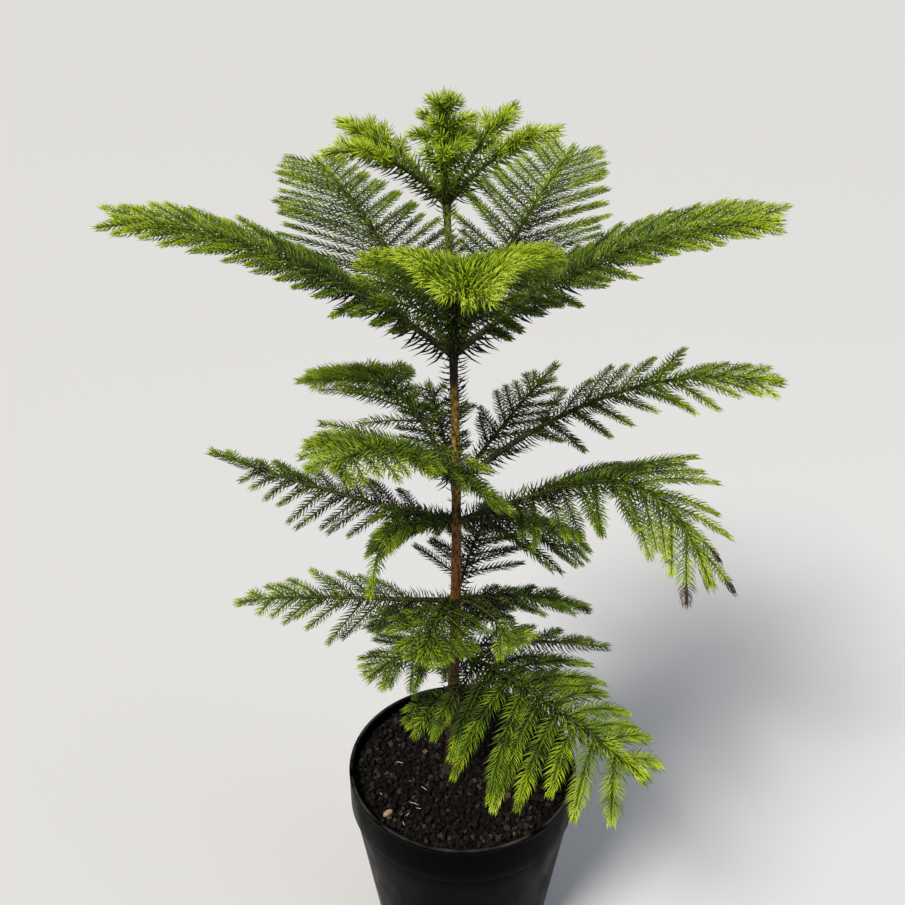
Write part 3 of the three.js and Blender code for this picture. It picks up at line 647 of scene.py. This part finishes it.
def leader_shoots():
    """The leader and the tiers of young shoots round it that aren't boughs yet."""
    foot = trunk_axis(TRUNK_TOP)
    draw = seeded_series(901)
    height = np.linspace(0, LEADER_HEIGHT, 12)[:, None]
    yield Shoot(foot + UP * height, np.linspace(TRUNK_TOP_RADIUS, LEADER_TIP_RADIUS, 12),
                RIGHT, 11, 0.36, (64, 34), (2.5, 3.9), seed=800, combed=False)
    for tier in LEADER_TIERS:
        for k in range(tier["twigs"]):
            turn = math.radians(360 * (k + 0.5 * next(draw)) / tier["twigs"])
            length = tier["length"] * (0.85 + 0.25 * next(draw))
            climb = math.radians(tier["climb"] + 14 * (next(draw) - 0.5))
            heading = np.array([math.cos(turn) * math.cos(climb),
                                math.sin(turn) * math.cos(climb), math.sin(climb)])
            s = np.linspace(0, 1, 9)[:, None] * length
            root = foot + UP * LEADER_HEIGHT * tier["share"]
            line = root + heading * s - UP * LEADER_SAG * s * s / length
            yield Shoot(line, np.linspace(1.4, 0.6, 9), np.cross(heading, UP), 11.5, 0.36, (66, 36),
                        (2.0, 3.9), under=0.8, seed=810 + 10 * k + round(10 * tier["share"]),
                        combed=False)


def grown_shoots():
    """Every shoot of the plant: stems of boughs first, then their twigs where there is room."""
    boughs = [Bough(whorl, own, 100 * (w + 1) + b)
              for w, whorl in enumerate(WHORLS) for b, own in enumerate(whorl["boughs"])]
    room = Room()
    height = np.linspace(SOIL_TOP, TRUNK_TOP, 20)
    room.occupy("trunk", trunk_axis(height), trunk_radius(height) - NEEDLE_REACH * 0.5)
    for bough in boughs:
        t = np.linspace(bough.root, 1, 11)
        room.occupy(bough.label, bough.curve(t), np.where(t > 0.6, NEEDLE_REACH, bough.radius(t)))
    twigs = []
    for bough in boughs:
        others = room.others(bough.label)
        for k, twig in enumerate(twig_plan(bough)):
            length = fitted_length(bough, twig, others)
            if length is None:
                continue
            line = twig_line(bough, twig, length, 4)
            room.occupy(bough.label, line, [NEEDLE_REACH] * 3)
            twigs.append(twig_shoot(bough, twig, length, 1000 * bough.seed + k))
    return boughs, twigs


# ---------------------------------------------------------------- finishes

def mottle_group():
    """Two colours mixed by a soft grain that is fixed in the object, and the grain itself."""
    group = bpy.data.node_groups.new("mottle", "ShaderNodeTree")
    sockets = group.interface
    for name, kind in (("Light", "NodeSocketColor"), ("Dark", "NodeSocketColor"),
                       ("Grains per metre", "NodeSocketFloat"), ("Upright", "NodeSocketFloat")):
        sockets.new_socket(name, in_out="INPUT", socket_type=kind)
    sockets.new_socket("Colour", in_out="OUTPUT", socket_type="NodeSocketColor")
    sockets.new_socket("Grain", in_out="OUTPUT", socket_type="NodeSocketFloat")
    add, link = group.nodes.new, group.links.new
    given, out = add("NodeGroupInput"), add("NodeGroupOutput")
    place, stretch, squeeze = (add(kind) for kind in (
        "ShaderNodeTexCoord", "ShaderNodeCombineXYZ", "ShaderNodeVectorMath"))
    squeeze.operation = "MULTIPLY"
    stretch.inputs["X"].default_value = 1
    stretch.inputs["Y"].default_value = 1
    grain, spread, mixed = add("ShaderNodeTexNoise"), add("ShaderNodeMapRange"), add("ShaderNodeMix")
    grain.inputs["Detail"].default_value = 4
    spread.inputs["From Min"].default_value = 0.34
    spread.inputs["From Max"].default_value = 0.66
    mixed.data_type = "RGBA"
    link(given.outputs["Upright"], stretch.inputs["Z"])
    link(place.outputs["Object"], squeeze.inputs[0])
    link(stretch.outputs["Vector"], squeeze.inputs[1])
    link(squeeze.outputs["Vector"], grain.inputs["Vector"])
    link(given.outputs["Grains per metre"], grain.inputs["Scale"])
    link(grain.outputs["Fac"], spread.inputs["Value"])
    link(spread.outputs["Result"], mixed.inputs["Factor"])
    link(given.outputs["Dark"], mixed.inputs["A"])
    link(given.outputs["Light"], mixed.inputs["B"])
    link(mixed.outputs["Result"], out.inputs["Colour"])
    link(spread.outputs["Result"], out.inputs["Grain"])
    return group


MOTTLE = mottle_group()


class Finish:
    """A material whose two base colours are mottled, and the nodes that more can be added to.

    grains is the number of spots to a metre, and upright the share of it that a metre of
    height has: below 1 the spots are streaks that run up and down.
    """

    def __init__(self, name, dark, light, grains, roughness, specular, upright=1.0):
        self.material = bpy.data.materials.new(name)
        self.material.use_nodes = True
        self.add = self.material.node_tree.nodes.new
        self.link = self.material.node_tree.links.new
        self.shader = self.material.node_tree.nodes["Principled BSDF"]
        self.shader.inputs["Roughness"].default_value = roughness
        self.shader.inputs["Specular IOR Level"].default_value = specular
        self.mottle = self.add("ShaderNodeGroup")
        self.mottle.node_tree = MOTTLE
        self.mottle.inputs["Light"].default_value = linear(light)
        self.mottle.inputs["Dark"].default_value = linear(dark)
        self.mottle.inputs["Grains per metre"].default_value = grains
        self.mottle.inputs["Upright"].default_value = upright
        self.link(self.mottle.outputs["Colour"], self.shader.inputs["Base Color"])

    def relief(self, source, height):
        """Relief from a mask, its height in metres."""
        bump = self.add("ShaderNodeBump")
        bump.inputs["Distance"].default_value = height
        self.link(source, bump.inputs["Height"])
        self.link(bump.outputs["Normal"], self.shader.inputs["Normal"])

    def uneven_roughness(self, smooth, rough):
        """Gloss that varies with the grain."""
        spread = self.add("ShaderNodeMapRange")
        spread.inputs["To Min"].default_value = smooth
        spread.inputs["To Max"].default_value = rough
        self.link(self.mottle.outputs["Grain"], spread.inputs["Value"])
        self.link(spread.outputs["Result"], self.shader.inputs["Roughness"])

    def by_height(self, low, high, bands):
        """Light colour that follows the height, from pairs of a level in millimetres and a colour."""
        place, height, run = (self.add(kind) for kind in (
            "ShaderNodeTexCoord", "ShaderNodeSeparateXYZ", "ShaderNodeMapRange"))
        run.inputs["From Min"].default_value = low * MM
        run.inputs["From Max"].default_value = high * MM
        ramp = self.add("ShaderNodeValToRGB")
        points = ramp.color_ramp.elements
        while len(points) < len(bands):
            points.new(0.5)
        for point, (level, colour) in zip(points, bands):
            point.position = (level - low) / (high - low)
            point.color = linear(colour)
        self.link(place.outputs["Object"], height.inputs["Vector"])
        self.link(height.outputs["Z"], run.inputs["Value"])
        self.link(run.outputs["Result"], ramp.inputs["Fac"])
        self.link(ramp.outputs["Color"], self.mottle.inputs["Light"])


def needle_finish(tone):
    """Waxy living green, or the brown of withered needles."""
    dark, light = TONE_COLOURS[tone]
    return Finish(f"needles_{tone}", dark, light, 60, 0.46, 0.2).material


def stem_finish(name, dark, light):
    """Skin of boughs and twigs, streaked along their height."""
    finish = Finish(name, dark, light, 260, 0.62, 0.3, upright=0.5)
    finish.relief(finish.mottle.outputs["Grain"], 0.0003)
    return finish.material


def bark_finish():
    """Reddish brown at the foot, olive higher up, and nearly black in a band of painted shade under
    the second whorl.
    """
    finish = Finish("bark", "#15100a", "#ffffff", 420, 0.75, 0.25, upright=0.35)
    # The near-black band from 696 to 722 mm is painted shade under the second whorl.
    finish.by_height(SOIL_TOP, TRUNK_TOP, [
        (SOIL_TOP, "#3c2c1c"), (380, "#6e4a28"), (500, "#9a6230"), (560, "#7a5a2c"),
        (600, "#c0a04c"), (680, "#b89a48"), (696, "#2c2814"), (722, "#1e1c10"),
        (760, "#a09a48"), (840, "#8d963e"), (TRUNK_TOP, "#6f8a30")])
    finish.relief(finish.mottle.outputs["Grain"], 0.0006)
    return finish.material


def pot_finish():
    """Black moulded plastic with a little gloss, and a painted grey highlight along the top of the
    lip.
    """
    finish = Finish("pot_plastic", "#010101", "#020202", 38, 0.35, 0.02, upright=0.6)
    # Painted highlight: over the top 1.8 mm of the lip, the base colour turns from black to a pale
    # grey line at the edge.
    lip_highlight_foot = POT_HEIGHT - 1.8
    finish.by_height(lip_highlight_foot, POT_HEIGHT, [
        (lip_highlight_foot, "#020202"), (POT_HEIGHT - 0.7, "#20201f"), (POT_HEIGHT, "#41413e")])
    finish.uneven_roughness(0.26, 0.46)
    scratch = finish.add("ShaderNodeTexNoise")
    scratch.inputs["Scale"].default_value = 900
    scratch.inputs["Detail"].default_value = 3
    finish.relief(scratch.outputs["Fac"], 0.00008)
    return finish.material


def crumbly_finish(name, dark, light):
    """Dull and rough all over: bark, grit, straw and husk."""
    finish = Finish(name, dark, light, 500, 0.9, 0.2)
    finish.relief(finish.mottle.outputs["Grain"], 0.0005)
    return finish.material


# ---------------------------------------------------------------- the pot and what fills it

def wall_radius(height):
    """Outer radius of the pot's wall, which widens evenly up to the collar."""
    share = height / (POT_HEIGHT - LIP_DEPTH)
    return FOOT_RADIUS + (RIM_RADIUS - LIP_STEP - FOOT_RADIUS) * share


def arc(centre_r, centre_z, radius, start, end, steps=6):
    """Points of a rounded edge of a turned profile, by angles in degrees."""
    turns = [math.radians(a) for a in np.linspace(start, end, steps)]
    return [(centre_r + radius * math.cos(a), centre_z + radius * math.sin(a)) for a in turns]


def turned(profile, sides):
    """Corners and faces of a closed turned body from a profile that starts and ends on the axis."""
    radius, height = np.array(profile[1:-1]).T
    turn = np.arange(sides) * 2 * np.pi / sides
    rows = np.stack([np.outer(radius, np.cos(turn)), np.outer(radius, np.sin(turn)),
                     np.repeat(height[:, None], sides, axis=1)], axis=-1)
    ends = np.array([[0, 0, profile[0][1]], [0, 0, profile[-1][1]]])
    return np.concatenate([rows.reshape(-1, 3), ends]), round_faces(len(radius), sides)


def pot_profile():
    """Foot, wall, collar, rolled lip and the inside, from the underside's centre."""
    collar = POT_HEIGHT - LIP_DEPTH
    wall = [(wall_radius(h), h) for h in np.linspace(6, collar - 2, 12)]
    inner_levels = np.linspace(collar - 2, BASE_THICKNESS + 3, 8)
    inside = [(wall_radius(h) - POT_WALL, h) for h in inner_levels]
    return [
        (0, 0), (BASE_RING, 0), (FOOT_RADIUS - 6, 0),
        *arc(FOOT_RADIUS - 4, 5, 5, -90, 0),
        *wall,
        *arc(wall_radius(collar) + 0.4, collar + 0.6, 0.9, 180, 90, 3),
        *arc(RIM_RADIUS - 1.6, collar + 2.4, 1.2, -90, 0, 4),
        (RIM_RADIUS - 0.3, collar + 12), (RIM_RADIUS - 0.2, POT_HEIGHT - 8),
        (RIM_RADIUS - 0.5, POT_HEIGHT - 5.4),
        *arc(RIM_RADIUS - LIP_ROUND, POT_HEIGHT - LIP_ROUND, LIP_ROUND, -20, 160, 9),
        (RIM_RADIUS - 2 * LIP_ROUND - 0.3, POT_HEIGHT - 5),
        (RIM_RADIUS - LIP_STEP - POT_WALL, POT_HEIGHT - 9),
        (RIM_RADIUS - LIP_STEP - POT_WALL - 0.5, collar + 4),
        *inside,
        (FOOT_RADIUS - POT_WALL - 3, BASE_THICKNESS), (BASE_RING, BASE_THICKNESS),
        (0, BASE_THICKNESS)]


def pot():
    """The nursery pot, with its drain holes cut through the base."""
    piece = mesh_piece("nursery_pot", *turned(pot_profile(), POT_SIDES), pot_finish())
    drains = Joined()
    for k in range(DRAIN_HOLES):
        turn = 2 * math.pi * (k + 0.5) / DRAIN_HOLES
        centre = np.array([DRAIN_CIRCLE * math.cos(turn), DRAIN_CIRCLE * math.sin(turn), 0])
        line = centre + UP * np.array([[-5.0], [0.0], [BASE_THICKNESS + 5]])
        drains.add(*tube(line, [DRAIN_RADIUS] * 3, 24, RIGHT))
    cutter = drains.piece("drains", piece.data.materials[0])
    cut = piece.modifiers.new("drain_holes", "BOOLEAN")
    cut.object = cutter
    bpy.context.view_layer.update()
    piece.data = bpy.data.meshes.new_from_object(
        piece.evaluated_get(bpy.context.evaluated_depsgraph_get()))
    piece.modifiers.clear()
    bpy.data.objects.remove(cutter)
    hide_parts("pot")


BLOCK = np.array([[x, y, z] for z in (-1, 1) for x, y in ((-1, -1), (1, -1), (1, 1), (-1, 1))])
BLOCK_FACES = [
    [0, 2, 1], [0, 3, 2], [4, 5, 6], [4, 6, 7], [0, 1, 5], [0, 5, 4],
    [1, 2, 6], [1, 6, 5], [2, 3, 7], [2, 7, 6], [3, 0, 4], [3, 4, 7]]

# Share of the top and the two colours of each kind of granule.
GRANULE_KINDS = {
    "black": (0.59, "#010101", "#0e0b08"),
    "brown": (0.29, "#0a0807", "#261f19"),
    "grey": (0.116, "#1d1a18", "#423d37"),
    "tan": (0.004, "#4a3c2c", "#75634b"),
}
# Distance between granules in each layer, and the layer's level over SOIL_TOP.
GRANULE_LAYERS = ((4.8, -3.0), (6.0, 0.2))
GRANULE_PLAY = 1.4      # how far they lie above or below their layer, and how it rolls
TRUNK_ROOM = 8          # from the trunk's centre to the nearest granule
BED_TOP = SOIL_TOP - 3  # the fine stuff lies lower than the granules on it
BED_WAVE = 0.8


def crumb(draw, size):
    """Corners of one granule: a block whose eight corners are knocked about."""
    block = BLOCK + draw.uniform(-0.3, 0.3, (8, 3))
    block = block * draw.uniform(0.7, 1.15, 3) * size / 3
    turn = draw.normal(size=(3, 3))
    axes, _ = np.linalg.qr(turn)
    if np.linalg.det(axes) < 0:
        axes[0] = -axes[0]
    return block @ axes


def granules():
    """Bark and grit over the whole top, each granule of one of four plain colours."""
    shares = [share for share, _, _ in GRANULE_KINDS.values()]
    finishes = {kind: crumbly_finish(f"granule_{kind}", dark, light)
                for kind, (_, dark, light) in GRANULE_KINDS.items()}
    heaps = {kind: Joined() for kind in GRANULE_KINDS}
    draw = np.random.default_rng(44)
    for pitch, level in GRANULE_LAYERS:
        steps = np.arange(-SOIL_RADIUS, SOIL_RADIUS, pitch)
        for x in steps:
            for y in steps:
                spot = np.array([x, y]) + draw.uniform(-0.45, 0.45, 2) * pitch
                size = draw.uniform(4.4, 7.0) if draw.random() < 0.85 else draw.uniform(6.5, 8.5)
                from_trunk = np.hypot(spot[0] - TRUNK_FOOT_X, spot[1])
                if np.hypot(*spot) > SOIL_RADIUS - size * 0.5 or from_trunk < TRUNK_ROOM:
                    continue
                kind = draw.choice(list(GRANULE_KINDS), p=shares)
                lie = SOIL_TOP + level + draw.uniform(-GRANULE_PLAY, GRANULE_PLAY)
                lie += GRANULE_PLAY * math.sin(x / 31) * math.cos(y / 23)
                heaps[kind].add(crumb(draw, size) + [*spot, lie], BLOCK_FACES)
    for kind, heap in heaps.items():
        piece = heap.piece(f"granules_{kind}", finishes[kind])
        piece.data.polygons.foreach_set("use_smooth", [False] * len(piece.data.polygons))
    return finishes["black"]


def soil_bed(material):
    """The fine stuff between the granules, from the base up."""
    shoulder = wall_radius(POT_HEIGHT - LIP_DEPTH) - POT_WALL - CLEARANCE
    floor = BASE_THICKNESS + CLEARANCE
    top = [(r, BED_TOP + BED_WAVE * math.sin(r / 9)) for r in np.linspace(shoulder, 6, 16)]
    profile = [(0, floor), (FOOT_RADIUS - POT_WALL - 3, floor),
               (shoulder, POT_HEIGHT - LIP_DEPTH - 3), *top, (0, BED_TOP)]
    piece = mesh_piece("soil_bed", *turned(profile, 96), material)
    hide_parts("soil")


# Place and half length of each bit of straw.
STRAW = [(-52, -55, 5), (-58, -70, 2.6), (-62, -82, 2.8), (-42, -34, 4),
         (-88, -42, 2), (-47, -62, 2.4), (30, -58, 3), (-70, 4, 4)]
STRAW_RADII = [0.25, 0.4, 0.45, 0.4, 0.35, 0.2]
STRAW_LEVEL = SOIL_TOP + 4.4
SEED_PLACE = np.array([-79.0, -69.0, SOIL_TOP + 5])
SEED_HALF = np.array([4.6, 3.4, 0.6])   # from the middle of the seed to its end
SEED_RADIUS = 3.2


def straw():
    """A few bits of straw on the granules."""
    bits = Joined()
    draw = np.random.default_rng(9)
    for x, y, half in STRAW:
        turn = draw.uniform(0, math.pi)
        heading = np.array([math.cos(turn), math.sin(turn), 0])
        span = np.linspace(-1, 1, len(STRAW_RADII))[:, None] * half
        line = np.array([x, y, STRAW_LEVEL]) + span * heading - UP * 0.03 * span ** 2
        bits.add(*tube(line, STRAW_RADII, 5, UP))
    bits.piece("straw", crumbly_finish("dry_straw", "#9c917a", "#ddd5c0"))


def loose_seed():
    """A flat seed near the lip."""
    span = np.linspace(-1, 1, 12)[:, None]
    line = SEED_PLACE + span * SEED_HALF
    radii = SEED_RADIUS * np.sqrt(np.maximum(1 - span[:, 0] ** 2, 0.01))
    husk = crumbly_finish("seed_husk", "#7a6a4c", "#b8a582")
    mesh_piece("loose_seed", *tube(line, radii, 12, UP), husk)


# ---------------------------------------------------------------- trunk, boughs and foliage

def bark_relief(turn, run):
    """Leaf scars in a spiral lattice, and shallow rings and furrows between them."""
    lattice = np.abs(np.cos(3 * turn + 0.55 * run) * np.cos(3 * turn - 0.55 * run))
    rings = np.sin(run * 1.9 + 2 * np.sin(2 * turn))
    return 0.34 * lattice ** 2 + 0.09 * rings + 0.12 * np.sin(5 * turn + run * 0.13)


def stem_relief(turn, run):
    """The low ridges that run down a green stem from the foot of each needle."""
    return 0.1 * np.abs(np.cos(2.5 * turn + 0.5 * run)) * np.abs(np.sin(0.9 * run))


def trunk():
    """The trunk from just under the granules to its top."""
    height = np.arange(SOIL_TOP - 5, TRUNK_TOP + 1, TRUNK_RING)
    skin = tube(trunk_axis(height), trunk_radius(height), TRUNK_SIDES, RIGHT, bark_relief)
    piece = mesh_piece("trunk_bark", *skin, bark_finish())
    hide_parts("trunk")


def limbs_and_stems(boughs):
    """Each bough's bare limb, brown, and the green-brown stem that goes on from it."""
    limbs, stems = Joined(), Joined()
    for bough in boughs:
        steps = max(4, round(bough.reach * bough.handover / 2))
        foot = np.linspace(0.3 * bough.root, bough.handover + 0.02, steps)
        t = np.linspace(bough.handover, 1, round(bough.reach / 3))
        radius = bough.radius(foot) + LIMB_FLARE * np.exp(-foot * bough.reach / LIMB_FLARE_RUN)
        limbs.add(*tube(bough.curve(foot), radius, 12, bough.sideways, bark_relief))
        stems.add(*tube(bough.curve(t), bough.radius(t) * 0.98, 8, bough.sideways, stem_relief))
    limb_piece = limbs.piece("limbs", stem_finish("limb_bark", "#1c1a0c", "#3c3a18"))
    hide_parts(*(f"bough_{b.label}" for b in boughs if b.limb > 0))
    stems.piece("stems", stem_finish("stem_skin", "#2f3217", "#59572a"))


def twigs(shoots, boughs):
    """The green twigs themselves, in one piece, standing for the masses of foliage."""
    joined = Joined()
    for shoot in shoots:
        joined.add(*tube(shoot.line, shoot.radius, 5, shoot.reference))
    piece = joined.piece("twigs", stem_finish("twig_skin", "#3f4c18", "#667026"))
    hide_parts("foliage_leader", *(f"foliage_{b.label}" for b in boughs))


def needles(shoots):
    """All needles, each tone in pieces of its own."""
    heaps = {tone: [] for tone in [*TONES, "withered"]}
    for shoot in shoots:
        corners, tones = shoot.needles()
        for index, tone in enumerate(heaps):
            heaps[tone].append(corners[tones == index])
    for tone, heap in heaps.items():
        corners = np.concatenate(heap)
        material = needle_finish(tone)
        for k in range(0, len(corners), NEEDLES_PER_PIECE):
            batch = corners[k:k + NEEDLES_PER_PIECE]
            faces = NEEDLE_FACES[None] + NEEDLE_CORNERS * np.arange(len(batch))[:, None, None]
            name = f"needles_{tone}_{k // NEEDLES_PER_PIECE + 1}"
            piece = mesh_piece(name, batch.reshape(-1, 3), faces.reshape(-1, 3).tolist(), material)


# ---------------------------------------------------------------- floor, light and camera, in metres

EYE = (-0.01125, -0.795, 1.01375)
LOOK_DOWN = 26.3        # degrees below level
IMAGE_WIDTH = 905       # pixels
FOCAL_LENGTH = 950      # in the same pixels
SENSOR_WIDTH = 36
SUN_HEADING = (0.8, 0.95, -1.4)
FLOOR_RADIUS = 200


def stage():
    """A plain pale floor that fills the picture behind and below the plant."""
    material = bpy.data.materials.new("pale_floor")
    material.use_nodes = True
    shader = material.node_tree.nodes["Principled BSDF"]
    shader.inputs["Base Color"].default_value = linear("#d0d3d9")
    shader.inputs["Roughness"].default_value = 0.85
    bpy.ops.mesh.primitive_circle_add(vertices=96, radius=FLOOR_RADIUS, fill_type="NGON")
    floor = bpy.context.object
    floor.name = "floor"
    floor.data.materials.append(material)
    floor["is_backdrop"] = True


def area_light(name, place, target, size, watts, colour):
    lamp = bpy.data.lights.new(name, "AREA")
    lamp.size = size
    lamp.energy = watts
    lamp.color = linear(colour)[:3]
    holder = bpy.data.objects.new(name, lamp)
    bpy.context.scene.collection.objects.link(holder)
    holder.location = place
    holder.rotation_euler = (Vector(target) - Vector(place)).to_track_quat("-Z", "Y").to_euler()


def light():
    """A broad soft sun from behind the viewer's left, a weak fill and an even sky."""
    crown = (0, 0, 0.55)
    sun = bpy.data.lights.new("key", "SUN")
    sun.energy = 3.8
    sun.angle = math.radians(20)
    sun.color = linear("#fff6e8")[:3]
    holder = bpy.data.objects.new("key", sun)
    bpy.context.scene.collection.objects.link(holder)
    holder.rotation_euler = Vector(SUN_HEADING).to_track_quat("-Z", "Y").to_euler()
    area_light("fill", (1.8, -0.9, 1.2), crown, 1.6, 8, "#f2f5ff")
    world = bpy.data.worlds.new("studio")
    world.use_nodes = True
    sky = world.node_tree.nodes["Background"]
    sky.inputs["Color"].default_value = linear("#eef0f2")
    sky.inputs["Strength"].default_value = 0.36
    bpy.context.scene.world = world


def camera():
    """The main view, from in front of the plant and a little above its tip."""
    lens = bpy.data.cameras.new("camera")
    lens.sensor_width = SENSOR_WIDTH
    lens.lens = SENSOR_WIDTH * FOCAL_LENGTH / IMAGE_WIDTH
    eye = bpy.data.objects.new("camera", lens)
    bpy.context.scene.collection.objects.link(eye)
    eye.location = EYE
    eye.rotation_euler = (math.radians(90 - LOOK_DOWN), 0, 0)
    bpy.context.scene.camera = eye


def tell_sizes():
    """The box of the solids and that of the dressed plant, as rows of numbers."""
    boxes = {"cad": solid_box, "visual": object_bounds()}
    rows = {name: [[float(v) for v in corner] for corner in box] for name, box in boxes.items()}


camera()
light()
stage()
pot()
soil_bed(granules())
straw()
loose_seed()
trunk()
boughs, foliage = grown_shoots()
limbs_and_stems(boughs)
foliage += leader_shoots()
twigs(foliage, boughs)
stems = [stem_shoot(bough, bough.seed) for bough in boughs]
needles([*foliage, *stems, *trunk_shoots()])
bpy.context.scene.view_settings.view_transform = "Standard"
tell_sizes()
